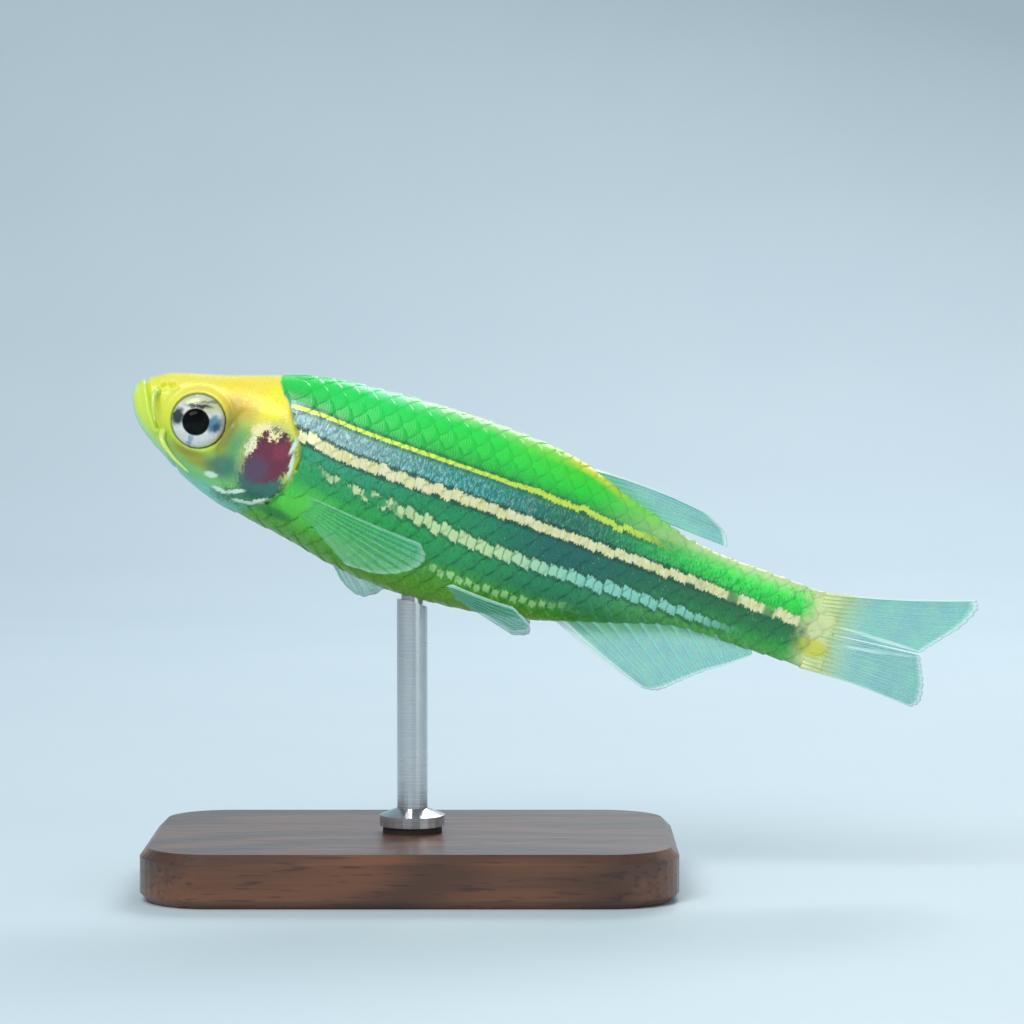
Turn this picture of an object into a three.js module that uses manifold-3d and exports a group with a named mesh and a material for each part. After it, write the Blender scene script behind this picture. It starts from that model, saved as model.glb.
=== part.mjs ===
// A zebra danio, life size, swimming head up over a plain display stand.
// Millimetres, +Z up. The snout points towards -X and the fish's left flank faces -Y.
// The origin is the middle of the stand's underside.

import * as THREE from 'three';
import { mergeVertices } from 'three/addons/utils/BufferGeometryUtils.js';
import Module from 'manifold-3d';

const wasm = await Module();
wasm.setup();

// Driving dimensions
const STANDARD_LENGTH = 33.5; // snout to the root of the tail fin
const PITCH = THREE.MathUtils.degToRad(18.5); // the body's head-up tilt
const GAP = 0.3; // clearance between neighbouring pieces
const FIN_CLEARANCE = 5.6; // from the tail fin's lowest point down to the stand
const ROD_STATION = 44.5; // where along the belly the rod stands, in per cent of the standard length

// Stand
const BASE_LENGTH = 24;
const BASE_WIDTH = 16;
const BASE_HEIGHT = 2.4;
const BASE_CORNER = 3.2;
const BASE_CHAMFER = 0.4;
const ROD_RADIUS = 0.7;
const ROD_OVERRUN = 1; // into the belly, before the belly's shape is cut out of it
const COLLAR_RADIUS = 1.5;
const COLLAR_HEIGHT = 0.8;
const COLLAR_RIM = 0.48; // height of the collar's straight edge under its sloping shoulder

// Body mesh
const RINGS = 58;
const SIDES = 32;
const RING_CROWDING = 1.3; // above 1, rings crowd towards the snout
const TAIL_END = 99;
const LEAST_HALF = 0.04; // smallest half width or height of a ring
const SNOUT_CAP = 0.02; // how far the snout's last point stands before its first ring
const REACH = STANDARD_LENGTH; // long enough to cut right through the fish

// Body form in per cent of the standard length: distance from the snout, height of the back and of
// the belly over the body's axis, half width, and how square the section is (2 is an ellipse)
const STATIONS = [
  { at: -0.35, back: 1.3, belly: 0.8, half: 0.3, square: 2.0 },
  { at: -0.1, back: 1.9, belly: -0.5, half: 1.2, square: 2.1 },
  { at: 1.2, back: 2.95, belly: -2.7, half: 2.4, square: 2.3 },
  { at: 3, back: 4.3, belly: -4.4, half: 3.3, square: 2.4 },
  { at: 6, back: 5.4, belly: -6.2, half: 4.2, square: 2.5 },
  { at: 10, back: 6.5, belly: -8.4, half: 5.0, square: 2.5 },
  { at: 15, back: 8.1, belly: -10.1, half: 5.7, square: 2.4 },
  { at: 20, back: 9.8, belly: -10.9, half: 6.2, square: 2.3 },
  { at: 26, back: 11.0, belly: -11.8, half: 6.6, square: 2.2 },
  { at: 33, back: 11.7, belly: -13.3, half: 6.8, square: 2.2 },
  { at: 40, back: 12.05, belly: -14.0, half: 6.7, square: 2.2 },
  { at: 50, back: 12.05, belly: -13.5, half: 6.0, square: 2.2 },
  { at: 60, back: 11.1, belly: -11.9, half: 4.9, square: 2.2 },
  { at: 70, back: 7.8, belly: -9.1, half: 3.6, square: 2.1 },
  { at: 80, back: 5.2, belly: -6.4, half: 2.6, square: 2.1 },
  { at: 90, back: 4.7, belly: -6.2, half: 1.9, square: 2.1 },
  { at: 99, back: 4.4, belly: -6.2, half: 1.2, square: 2.1 },
];

// Lines over the flank that part the body, as [along, up] in per cent of the standard length
const GILL_LINE = [
  [18.6, 15], [19.5, 9.5], [21.6, 4.6], [23.7, 1.2], [24.3, -1.6], [23.8, -4.4],
  [22.2, -7.2], [19.2, -9.8], [16.4, -13],
];
const VENT_LINE = [[58.8, 15], [60.2, 0], [61.8, -16]];
const MOUTH_LINE = [[-1.4, 4.8], [1.0, 2.75], [2.2, 0.9], [3.3, -1.1], [4.6, -2.9]];
const JAW_LINE = [[6.6, -4.9], [8.6, -7.6], [9.6, -12]];

// Head details
const EYE = { at: 9.75, up: -0.2, out: 4.0, radius: 3.75, depth: 1.95 };
const NOSTRILS = [
  { at: 3.6, up: 2.9, radius: 0.5 },
  { at: 4.8, up: 3.35, radius: 0.6 },
];
const LIP_PROUD = 0.1;
const LIP_WIDTH = 0.42;
const COVER_LINE = [
  [20.4, 5.4], [17.0, 4.6], [14.8, 2.0], [13.9, -1.6], [14.2, -5.2], [15.6, -8.4],
  [18.2, -9.9], [22, -8.5], [25.5, -4], [25.8, -1], [24.4, 2.5],
];
const COVER_PROUD = 0.1;
const COVER_THICKNESS = 0.6;
const COVER_INSET = COVER_PROUD - COVER_THICKNESS;
const COVER_INNER = 1.1; // half the space left between the two covers under the throat

// Points along each parting line
const LINE_POINTS = { gill: 26, vent: 8, cover: 34, mouth: 14, jaw: 26 };

// Fin membranes and rays
const MEMBRANE = 0.5;
const RAY_RIDGE = 0.2;
const FIN_EDGE = 0.16;
const RIDGE_FADE = 0.6; // share of its height that a ray has lost at its tip
const TIP_NOTCH = 0.035; // how far the membrane falls short of the ray tips, as a share of a ray

// Fins in per cent of the standard length: where the root lies, and the tips of the rays in order
const DORSAL = {
  rays: 8,
  rows: 7,
  root: [60.9, 71.5],
  tips: [[78.6, 0, 9.5], [80.8, 0, 8.7], [82.3, 0, 7.6], [83, 0, 6.1]],
  bow: 2.2,
};
const ANAL = {
  rays: 13,
  rows: 6,
  root: [63.6, 90],
  tips: [
    [78.2, 0, -15.8], [80.4, 0, -15.3], [82.6, 0, -13.4], [85.4, 0, -11], [88.4, 0, -9],
    [91.2, 0, -7.7],
  ],
  bow: -1.2,
};
// The lobes of the tail fin: the lower one sweeps to the fish's right
const CAUDAL_UPPER = {
  rays: 9,
  rows: 8,
  root: [4.5, -0.5],
  tips: [[117.4, 0, 10.1], [118.2, 0, 8.9], [116.8, 0, 6], [114.6, 0, 3.3], [112.5, 0, 0.9]],
  flare: -1.6,
  sweep: 0,
};
const CAUDAL_LOWER = {
  rays: 8,
  rows: 8,
  root: [-6.4, -1.4],
  tips: [
    [114, 3.4, -6.9], [115.1, 3.5, -5.8], [114.7, 2.6, -3.4], [113.7, 1.6, -1.4], [112.7, 0.8, 0],
  ],
  flare: 1.4,
  sweep: -2.4,
};
const PECTORAL_LEFT = {
  rays: 8,
  rows: 6,
  root: [[26.2, -4.9], [27.2, -7.9]],
  tips: [[43.4, 9.6, -5.8], [44.6, 10, -7.6], [43.2, 10.2, -9.8], [39.4, 9.8, -11.6], [34.6, 8.9, -12]],
};
const PECTORAL_RIGHT = {
  rays: 8,
  rows: 6,
  root: [[26.2, -4.9], [27.2, -7.9]],
  tips: [[40.6, 11, -10.4], [40.4, 10.6, -13.6], [37.4, 9.8, -16.1], [34.4, 9.1, -15.4], [32, 8.6, -13]],
};
const PELVIC = {
  rays: 6,
  rows: 5,
  root: [[47.8, -10.6], [49.8, -12.3]],
  tips: [[57.8, 7, -10.2], [60.4, 6.6, -11.7], [61, 5.2, -13.2], [59, 3.6, -14.2]],
};

// Barbels, as [along, up] in per cent of the standard length and the lift off the skin in millimetres
const SNOUT_BARBEL = [[3.2, 2.0, GAP], [3.3, 1.1, 0.55], [3.9, -0.4, 0.62], [4.8, -2.0, 0.6]];
const JAW_BARBEL = [[5.7, -3.2, GAP], [6.4, -3.9, 0.55], [8.6, -5.3, 0.62], [11.2, -6.5, 0.6]];
const BARBEL_ROOT = 0.25;
const BARBEL_TIP = 0.1;
const BARBEL_STEPS = 6;
const BARBEL_SIDES = 8;

const COLOURS = {
  flank: 0x2f9a54,
  head: 0xd8e04a,
  cover: 0x9a8a70,
  fin: 0x4fd0c0,
  eye: 0xe8ecee,
  wood: 0x4a2f1e,
  steel: 0xb8bcc0,
};

const percent = (value) => (value * STANDARD_LENGTH) / 100;
const fishPoint = (at, out, up) => new THREE.Vector3(percent(at), percent(out), percent(up));

// Turns vertex and triangle lists into a bare geometry
function meshGeometry(points, triangles) {
  const geometry = new THREE.BufferGeometry();
  geometry.setAttribute('position', new THREE.Float32BufferAttribute(points, 3));
  geometry.setIndex(triangles);
  return geometry;
}

// Keeps only the shared corner points of a closed geometry
function welded(geometry) {
  const bare = geometry.clone();
  bare.deleteAttribute('normal');
  bare.deleteAttribute('uv');
  return mergeVertices(bare, 1e-4);
}

function solid(geometry) {
  const mesh = welded(geometry);
  const vertProperties = new Float32Array(mesh.attributes.position.array);
  const triVerts = new Uint32Array(mesh.index.array);
  return new wasm.Manifold(new wasm.Mesh({ numProp: 3, vertProperties, triVerts }));
}

// The biggest closed piece of a solid, as a geometry
function geometryOf(shape) {
  const pieces = shape.decompose();
  pieces.sort((a, b) => b.volume() - a.volume());
  const { vertProperties, triVerts } = pieces[0].getMesh();
  return meshGeometry(Array.from(vertProperties), Array.from(triVerts));
}

// Smooth value of one column of the station table, by cubic steps between its rows
function profile(key, at) {
  const last = STATIONS.length - 1;
  let low = 0;
  while (low < last - 1 && STATIONS[low + 1].at < at) low += 1;
  const slope = (i) => {
    const a = STATIONS[Math.max(i - 1, 0)];
    const b = STATIONS[Math.min(i + 1, last)];
    return (b[key] - a[key]) / (b.at - a.at);
  };
  const from = STATIONS[low];
  const to = STATIONS[low + 1];
  const span = to.at - from.at;
  const t = THREE.MathUtils.clamp((at - from.at) / span, 0, 1);
  const rise = t * t * (3 - 2 * t);
  const lift = t * (1 - t) * (1 - t) * slope(low) - t * t * (1 - t) * slope(low + 1);
  return from[key] + (to[key] - from[key]) * rise + span * lift;
}

// Section of the body at a station: its half width, waist height and reach above and below the waist
function sectionAt(at) {
  const back = profile('back', at);
  const belly = profile('belly', at);
  const waist = (back + belly) / 2;
  return { waist, reach: back - waist, half: profile('half', at), square: profile('square', at) };
}

// Half width of the body at a height over its axis
function flankAt(at, up) {
  const { waist, reach, half, square } = sectionAt(at);
  const share = Math.min(Math.abs(up - waist) / reach, 1);
  return half * Math.pow(1 - Math.pow(share, square), 1 / square);
}

// Point over the left (-1) or right (+1) flank, lifted off the skin by a distance in millimetres
function overFlank(side, at, up, lift) {
  const step = 0.2;
  const below = fishPoint(at, flankAt(at, up - step), up - step);
  const above = fishPoint(at, flankAt(at, up + step), up + step);
  const slope = above.sub(below).normalize();
  const point = fishPoint(at, flankAt(at, up), up);
  point.add(new THREE.Vector3(0, slope.z, -slope.y).multiplyScalar(lift));
  point.y *= side;
  return point;
}

// The whole body as one closed loft, grown by a distance in millimetres all round
function bodyGeometry(growth) {
  const points = [];
  const triangles = [];
  const start = STATIONS[0].at;
  const addPoint = (x, y, z) => points.push(x, y, z);
  const power = (value, exponent) => Math.sign(value) * Math.pow(Math.abs(value), exponent);
  for (let ring = 0; ring <= RINGS; ring += 1) {
    const share = Math.pow(ring / RINGS, RING_CROWDING);
    const at = start + (TAIL_END - start) * share;
    const { waist, reach, half, square } = sectionAt(at);
    const wide = Math.max(percent(half) + growth, LEAST_HALF);
    const high = Math.max(percent(reach) + growth, LEAST_HALF);
    const shift = growth * (2 * share - 1);
    for (let side = 0; side < SIDES; side += 1) {
      const angle = (2 * Math.PI * side) / SIDES;
      const y = wide * power(Math.cos(angle), 2 / square);
      const z = high * power(Math.sin(angle), 2 / square);
      addPoint(percent(at) + shift, y, percent(waist) + z);
    }
  }
  const ringStart = (ring) => ring * SIDES;
  for (let ring = 0; ring < RINGS; ring += 1) {
    for (let side = 0; side < SIDES; side += 1) {
      const next = (side + 1) % SIDES;
      const a = ringStart(ring) + side;
      const b = ringStart(ring) + next;
      const c = ringStart(ring + 1) + next;
      const d = ringStart(ring + 1) + side;
      triangles.push(a, b, c, a, c, d);
    }
  }
  const snout = points.length / 3;
  addPoint(percent(start) - growth - SNOUT_CAP, 0, percent(sectionAt(start).waist));
  const stub = points.length / 3;
  addPoint(percent(TAIL_END) + growth, 0, percent(sectionAt(TAIL_END).waist));
  for (let side = 0; side < SIDES; side += 1) {
    const next = (side + 1) % SIDES;
    triangles.push(snout, next, side);
    triangles.push(stub, ringStart(RINGS) + side, ringStart(RINGS) + next);
  }
  return meshGeometry(points, triangles);
}

const bodySolid = (growth) => solid(bodyGeometry(growth));

// Points evenly along a smooth line through [along, up] pairs in per cent of the standard length
function smoothLine(pairs, count, closed = false) {
  const knots = pairs.map(([at, up]) => fishPoint(at, 0, up));
  const curve = new THREE.CatmullRomCurve3(knots, closed, 'centripetal');
  const line = curve.getSpacedPoints(count);
  return (closed ? line.slice(0, -1) : line).map((point) => new THREE.Vector2(point.x, point.z));
}

// Moves each point of a line sideways, to the left of its direction
function shifted(line, distance, closed = false) {
  const count = line.length;
  const near = (i) => (closed ? (i + count) % count : THREE.MathUtils.clamp(i, 0, count - 1));
  return line.map((point, i) => {
    const along = line[near(i + 1)].clone().sub(line[near(i - 1)]).normalize();
    return new THREE.Vector2(point.x - along.y * distance, point.y + along.x * distance);
  });
}

// A side outline pushed through the body from one lateral distance to another
function prism(outline, from, to) {
  const shape = new THREE.Shape(outline);
  const geometry = new THREE.ExtrudeGeometry(shape, { depth: to - from, bevelEnabled: false });
  geometry.rotateX(Math.PI / 2);
  geometry.translate(0, to, 0);
  return solid(geometry);
}

// The same on one flank only, from a distance off the middle plane outwards
function sidePrism(side, outline, inner) {
  return side < 0 ? prism(outline, -REACH, -inner) : prism(outline, inner, REACH);
}

// A thin blade that follows a line over the flank and cuts right through the body
function blade(line, thickness) {
  const upper = shifted(line, thickness / 2);
  const lower = shifted(line, -thickness / 2).reverse();
  return prism([...upper, ...lower], -REACH, REACH);
}

const body = bodySolid(0);
const gillBlade = blade(smoothLine(GILL_LINE, LINE_POINTS.gill), GAP);
const ventBlade = blade(smoothLine(VENT_LINE, LINE_POINTS.vent), GAP);

// Parts of the body on the given side of a blade, told by their place along the fish
function partsOf(shape, knife) {
  const pieces = shape.subtract(knife).decompose();
  const middle = (piece) => {
    const { min, max } = piece.boundingBox();
    return (min[0] + max[0]) / 2;
  };
  pieces.sort((a, b) => b.volume() - a.volume());
  return pieces.slice(0, 2).sort((a, b) => middle(a) - middle(b));
}

// One gill cover: a shell of the cheek inside the cover line, a little proud of the skin
function coverSolid(side) {
  const plate = sidePrism(side, smoothLine(COVER_LINE, LINE_POINTS.cover, true), COVER_INNER);
  const shell = bodySolid(COVER_PROUD).subtract(bodySolid(COVER_INSET));
  return shell.intersect(plate).subtract(gillBlade);
}

// The space a gill cover and its clearance take out of the head
function coverPocket(side) {
  const outline = shifted(smoothLine(COVER_LINE, LINE_POINTS.cover, true), -GAP, true);
  const plate = sidePrism(side, outline, COVER_INNER - GAP);
  return plate.subtract(bodySolid(COVER_INSET - GAP));
}

function eyeGeometry(side, growth) {
  const geometry = new THREE.SphereGeometry(1, 20, 12);
  const wide = percent(EYE.radius) + growth;
  geometry.scale(wide, percent(EYE.depth) + growth, wide);
  geometry.translate(percent(EYE.at), side * percent(EYE.out), percent(EYE.up));
  return geometry;
}

function nostrilPit(side, { at, up, radius }) {
  const geometry = new THREE.SphereGeometry(percent(radius), 10, 8);
  const place = overFlank(side, at, up, 0);
  geometry.translate(place.x, place.y, place.z);
  return solid(geometry);
}

// Raised lips: the snout, a little grown, inside a band along the mouth
function lipBand() {
  const line = smoothLine(MOUTH_LINE, LINE_POINTS.mouth);
  return bodySolid(LIP_PROUD).intersect(blade(line, GAP + 2 * LIP_WIDTH));
}

// Head and lower jaw, parted along the mouth and the jaw's hinge line
function headAndJaw(headBlock) {
  let head = headBlock.add(lipBand());
  for (const side of [-1, 1]) {
    head = head.subtract(coverPocket(side)).subtract(solid(eyeGeometry(side, GAP)));
    for (const nostril of NOSTRILS) head = head.subtract(nostrilPit(side, nostril));
  }
  const mouth = smoothLine([...MOUTH_LINE, ...JAW_LINE], LINE_POINTS.jaw);
  const [jaw, skull] = partsOf(head, blade(mouth, GAP));
  return { jaw, skull };
}

// A fin: a membrane between a root line and a tip line, with each ray a ridge in both its faces
function finGeometry({ rays, rows, root, tip, bow }) {
  const columns = 2 * rays;
  const points = [];
  const triangles = [];
  const middle = (s, t) => root(t).lerp(tip(t), s).add(bow(s, t));
  const nudge = 0.01;
  const normalAt = (s, t) => {
    const alongRay = middle(s + nudge, t).sub(middle(s - nudge, t));
    const acrossRays = middle(s, t + nudge).sub(middle(s, t - nudge));
    return alongRay.cross(acrossRays).normalize();
  };
  for (const face of [1, -1]) {
    for (let row = 0; row <= rows; row += 1) {
      for (let column = 0; column <= columns; column += 1) {
        const onRay = column % 2 === 1;
        const t = column / columns;
        const s = (row / rows) * (onRay ? 1 : 1 - TIP_NOTCH);
        const swell = onRay ? RAY_RIDGE * (1 - RIDGE_FADE * s) : 0;
        const thick = THREE.MathUtils.lerp(MEMBRANE, FIN_EDGE, s * s) + swell;
        const point = middle(s, t).addScaledVector(normalAt(s, t), (face * thick) / 2);
        points.push(point.x, point.y, point.z);
      }
    }
  }
  const index = (face, row, column) => (face * (rows + 1) + row) * (columns + 1) + column;
  const quad = (a, b, c, d) => triangles.push(a, b, c, a, c, d);
  for (let row = 0; row < rows; row += 1) {
    for (let column = 0; column < columns; column += 1) {
      const corners = (face) => [
        index(face, row, column),
        index(face, row, column + 1),
        index(face, row + 1, column + 1),
        index(face, row + 1, column),
      ];
      const [a, b, c, d] = corners(0);
      const [e, f, g, h] = corners(1);
      triangles.push(a, c, b, a, d, c);
      triangles.push(e, f, g, e, g, h);
    }
  }
  for (let column = 0; column < columns; column += 1) {
    const next = column + 1;
    quad(index(0, 0, column), index(0, 0, next), index(1, 0, next), index(1, 0, column));
    quad(index(0, rows, next), index(0, rows, column), index(1, rows, column), index(1, rows, next));
  }
  for (let row = 0; row < rows; row += 1) {
    const next = row + 1;
    quad(index(0, next, 0), index(0, row, 0), index(1, row, 0), index(1, next, 0));
    quad(index(0, row, columns), index(0, next, columns), index(1, next, columns), index(1, row, columns));
  }
  return facingOut(meshGeometry(points, triangles));
}

// Turns every triangle round if the mesh encloses a negative volume
function facingOut(geometry) {
  const place = geometry.attributes.position;
  const order = Array.from(geometry.index.array);
  const corner = (i) => new THREE.Vector3().fromBufferAttribute(place, order[i]);
  let volume = 0;
  for (let i = 0; i < order.length; i += 3) {
    volume += corner(i).dot(corner(i + 1).cross(corner(i + 2)));
  }
  if (volume < 0) order.reverse();
  geometry.setIndex(order);
  return geometry;
}

// A smooth line in space through points given in per cent of the standard length
function spaceLine(triples) {
  const curve = new THREE.CatmullRomCurve3(triples.map(([at, out, up]) => fishPoint(at, out, up)));
  return (t) => curve.getPoint(THREE.MathUtils.clamp(t, 0, 1));
}

// The body's back or belly in the middle plane, lifted off the skin by the clearance
function ridgeLine(key, from, to) {
  const away = key === 'back' ? GAP : -GAP;
  return (t) => {
    const at = THREE.MathUtils.lerp(from, to, t);
    return new THREE.Vector3(percent(at), 0, percent(profile(key, at)) + away);
  };
}

// The dorsal or anal fin, standing in the middle plane; its front edge bows by a share of its length
function medianFin(key, { rays, rows, root, tips, bow }) {
  return finGeometry({
    rays,
    rows,
    root: ridgeLine(key, ...root),
    tip: spaceLine(tips),
    bow: (s, t) => fishPoint(0, 0, bow * s * (1 - s) * (1 - t)),
  });
}

// One lobe of the tail fin, its outer edge first
function tailLobe({ rays, rows, root, tips, flare, sweep }) {
  const start = percent(TAIL_END) + GAP;
  return finGeometry({
    rays,
    rows,
    root: (t) => new THREE.Vector3(start, 0, percent(THREE.MathUtils.lerp(...root, t))),
    tip: spaceLine(tips),
    bow: (s, t) => fishPoint(0, sweep * s * (1 - s), flare * s * (1 - s) * (1 - t)),
  });
}

// Paired fins rise off the skin with the inner face of their root one clearance away from it
function pairedFin(side, { rays, rows, root, tips }) {
  const lift = GAP + (MEMBRANE + RAY_RIDGE) / 2;
  const [from, to] = root.map((place) => overFlank(side, ...place, lift));
  return finGeometry({
    rays,
    rows,
    root: (t) => from.clone().lerp(to, t),
    tip: spaceLine(tips.map(([at, out, up]) => [at, side * out, up])),
    bow: () => new THREE.Vector3(),
  });
}

// A barbel: a soft feeler that tapers along a curve over the skin
function barbelGeometry(side, places) {
  const curve = new THREE.CatmullRomCurve3(places.map((place) => overFlank(side, ...place)));
  const frames = curve.computeFrenetFrames(BARBEL_STEPS, false);
  const points = [];
  const triangles = [];
  for (let step = 0; step <= BARBEL_STEPS; step += 1) {
    const share = step / BARBEL_STEPS;
    const radius = THREE.MathUtils.lerp(BARBEL_ROOT, BARBEL_TIP, share);
    const centre = curve.getPointAt(share);
    for (let i = 0; i < BARBEL_SIDES; i += 1) {
      const angle = (2 * Math.PI * i) / BARBEL_SIDES;
      const point = centre.clone();
      point.addScaledVector(frames.normals[step], radius * Math.cos(angle));
      point.addScaledVector(frames.binormals[step], radius * Math.sin(angle));
      points.push(point.x, point.y, point.z);
    }
  }
  const corner = (step, i) => step * BARBEL_SIDES + (i % BARBEL_SIDES);
  for (let step = 0; step < BARBEL_STEPS; step += 1) {
    for (let i = 0; i < BARBEL_SIDES; i += 1) {
      triangles.push(corner(step, i), corner(step, i + 1), corner(step + 1, i + 1));
      triangles.push(corner(step, i), corner(step + 1, i + 1), corner(step + 1, i));
    }
  }
  for (const step of [0, BARBEL_STEPS]) {
    const centre = curve.getPointAt(step / BARBEL_STEPS);
    const hub = points.length / 3;
    points.push(centre.x, centre.y, centre.z);
    for (let i = 0; i < BARBEL_SIDES; i += 1) {
      const rim = [corner(step, i), corner(step, i + 1)];
      triangles.push(hub, ...(step === 0 ? rim.reverse() : rim));
    }
  }
  return facingOut(meshGeometry(points, triangles));
}

// Where the fish hangs over the stand: the rod's belly point comes over the origin
const turn = new THREE.Matrix4().makeRotationY(PITCH);
const rodPoint = new THREE.Vector3(percent(ROD_STATION), 0, percent(profile('belly', ROD_STATION)));
rodPoint.applyMatrix4(turn);

const fish = new THREE.Group();
fish.rotation.y = PITCH;

function addMesh(group, name, geometry, colour, roughness, metalness) {
  const bare = welded(geometry);
  bare.computeVertexNormals();
  const material = new THREE.MeshStandardMaterial({ color: colour, roughness, metalness });
  const mesh = new THREE.Mesh(bare, material);
  mesh.name = name;
  group.add(mesh);
  return mesh;
}

const [headBlock, behindHead] = partsOf(body, gillBlade);
const [trunk, tail] = partsOf(behindHead, ventBlade);
const { jaw, skull } = headAndJaw(headBlock);

const skin = (name, shape, colour) => addMesh(fish, name, geometryOf(shape), colour, 0.35, 0.1);
skin('head', skull, COLOURS.head);
skin('lower_jaw', jaw, COLOURS.head);
skin('trunk', trunk, COLOURS.flank);
skin('tail', tail, COLOURS.flank);

const fin = (name, geometry) => addMesh(fish, name, geometry, COLOURS.fin, 0.3, 0);
for (const [name, side] of [['left', -1], ['right', 1]]) {
  skin(`gill_cover_${name}`, coverSolid(side), COLOURS.cover);
  addMesh(fish, `eye_${name}`, eyeGeometry(side, 0), COLOURS.eye, 0.1, 0.2);
  fin(`pelvic_fin_${name}`, pairedFin(side, PELVIC));
  fin(`barbel_snout_${name}`, barbelGeometry(side, SNOUT_BARBEL));
  fin(`barbel_jaw_${name}`, barbelGeometry(side, JAW_BARBEL));
}
fin('pectoral_fin_left', pairedFin(-1, PECTORAL_LEFT));
fin('pectoral_fin_right', pairedFin(1, PECTORAL_RIGHT));
fin('dorsal_fin', medianFin('back', DORSAL));
fin('anal_fin', medianFin('belly', ANAL));
fin('caudal_fin_upper', tailLobe(CAUDAL_UPPER));
fin('caudal_fin_lower', tailLobe(CAUDAL_LOWER));

// The tail fin's lowest point sets the height of the fish over the stand
function lowestOf(group) {
  group.updateMatrixWorld(true);
  return new THREE.Box3().setFromObject(group, true).min.z;
}
const rise = BASE_HEIGHT + FIN_CLEARANCE - lowestOf(fish);
fish.position.set(-rodPoint.x, 0, rise);
fish.updateMatrixWorld(true);

function standBase() {
  const half = { x: BASE_LENGTH / 2 - BASE_CHAMFER, y: BASE_WIDTH / 2 - BASE_CHAMFER };
  const corner = BASE_CORNER - BASE_CHAMFER;
  const plan = new THREE.Shape();
  const quarter = Math.PI / 2;
  plan.absarc(half.x - corner, half.y - corner, corner, 0, quarter);
  plan.absarc(corner - half.x, half.y - corner, corner, quarter, 2 * quarter);
  plan.absarc(corner - half.x, corner - half.y, corner, 2 * quarter, 3 * quarter);
  plan.absarc(half.x - corner, corner - half.y, corner, 3 * quarter, 4 * quarter);
  const geometry = new THREE.ExtrudeGeometry(plan, {
    depth: BASE_HEIGHT - 2 * BASE_CHAMFER,
    curveSegments: 5,
    bevelThickness: BASE_CHAMFER,
    bevelSize: BASE_CHAMFER,
    bevelSegments: 1,
  });
  geometry.translate(0, 0, BASE_CHAMFER);
  return geometry;
}

// The rod stands on the base with a small collar and is cupped under the belly
function standRod() {
  const foot = BASE_HEIGHT + GAP;
  const top = rodPoint.z + rise + ROD_OVERRUN;
  const outline = [
    [0, foot], [COLLAR_RADIUS, foot], [COLLAR_RADIUS, foot + COLLAR_RIM],
    [ROD_RADIUS, foot + COLLAR_HEIGHT], [ROD_RADIUS, top], [0, top],
  ];
  const geometry = new THREE.LatheGeometry(outline.map(([x, y]) => new THREE.Vector2(x, y)), 24);
  geometry.rotateX(Math.PI / 2);
  const belly = bodyGeometry(GAP);
  belly.applyMatrix4(fish.matrixWorld);
  return geometryOf(solid(facingOut(geometry)).subtract(solid(belly)));
}

const model = new THREE.Group();
model.add(fish);
addMesh(model, 'stand_base', standBase(), COLOURS.wood, 0.45, 0);
addMesh(model, 'stand_rod', standRod(), COLOURS.steel, 0.3, 1);

export default model;
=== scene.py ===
# %% [markdown]
# # A zebra danio on its display stand
# This lesson dresses a life-size model of a small aquarium fish, as a museum shows it.
# The solid model already exists as a CAD part. It is loaded first and is never moved:
# every new piece is placed from its sizes.

import math
import random

import bmesh
import bpy
import numpy as np
from mathutils import Matrix, Vector


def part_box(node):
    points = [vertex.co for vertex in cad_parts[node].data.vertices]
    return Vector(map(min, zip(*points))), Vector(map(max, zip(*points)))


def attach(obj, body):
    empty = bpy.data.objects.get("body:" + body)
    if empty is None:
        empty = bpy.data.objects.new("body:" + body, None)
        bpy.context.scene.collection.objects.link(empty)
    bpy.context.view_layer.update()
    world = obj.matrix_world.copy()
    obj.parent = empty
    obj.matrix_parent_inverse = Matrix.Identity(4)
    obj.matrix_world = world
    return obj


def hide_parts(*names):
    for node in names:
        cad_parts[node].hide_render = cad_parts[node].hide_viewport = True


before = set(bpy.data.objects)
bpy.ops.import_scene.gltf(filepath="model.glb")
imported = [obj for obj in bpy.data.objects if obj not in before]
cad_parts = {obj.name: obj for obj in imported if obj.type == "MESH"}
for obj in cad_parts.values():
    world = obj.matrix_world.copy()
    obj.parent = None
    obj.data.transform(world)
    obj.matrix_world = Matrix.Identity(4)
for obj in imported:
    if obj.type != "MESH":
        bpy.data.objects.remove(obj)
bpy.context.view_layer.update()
print("solids loaded:", len(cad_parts))

# %% [markdown]
# ## The fish's own frame
# A fish is measured in per cent of its standard length, from the snout to the root of the
# tail fin. Working in those units keeps every number easy to compare with a drawing in a
# fish book. The fish hangs head up, so a point is scaled, tilted and then moved to the snout.
# The snout's place is worked out from the left eye of the solid model.

# %% From per cent of the fish to metres
STANDARD_LENGTH = 0.0335
PERCENT = STANDARD_LENGTH / 100
MILLIMETRE = 0.001
MM = MILLIMETRE / PERCENT  # one millimetre in per cent of the fish
TILT = math.radians(18.5)
EYE_AT, EYE_OUT, EYE_UP = 9.75, 4.0, -0.2
EYE_RADIUS, EYE_DEPTH = 3.75, 1.95

tilt = Matrix.Rotation(TILT, 3, "Y")
eye_low, eye_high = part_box("eye_left")
eye_centre = Vector((EYE_AT, -EYE_OUT, EYE_UP)) * PERCENT
snout = (eye_low + eye_high) / 2 - tilt @ eye_centre
tilt_rows = np.array(tilt)


def to_world(points):
    """Turns points given as along, out and up in per cent of the fish into metres."""
    return np.array(snout) + (np.asarray(points) * PERCENT) @ tilt_rows.T


print("snout at", [round(x * 1000, 2) for x in snout], "mm")

# %% [markdown]
# ## The body's form
# The real body is a long drop, flat from side to side, with a straight forehead and a deep
# belly. It is described by sections: how high the back and belly are at a few stations, how
# wide the body is, and how square. A smooth curve through each column gives the sizes at
# any place between the stations.

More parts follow.
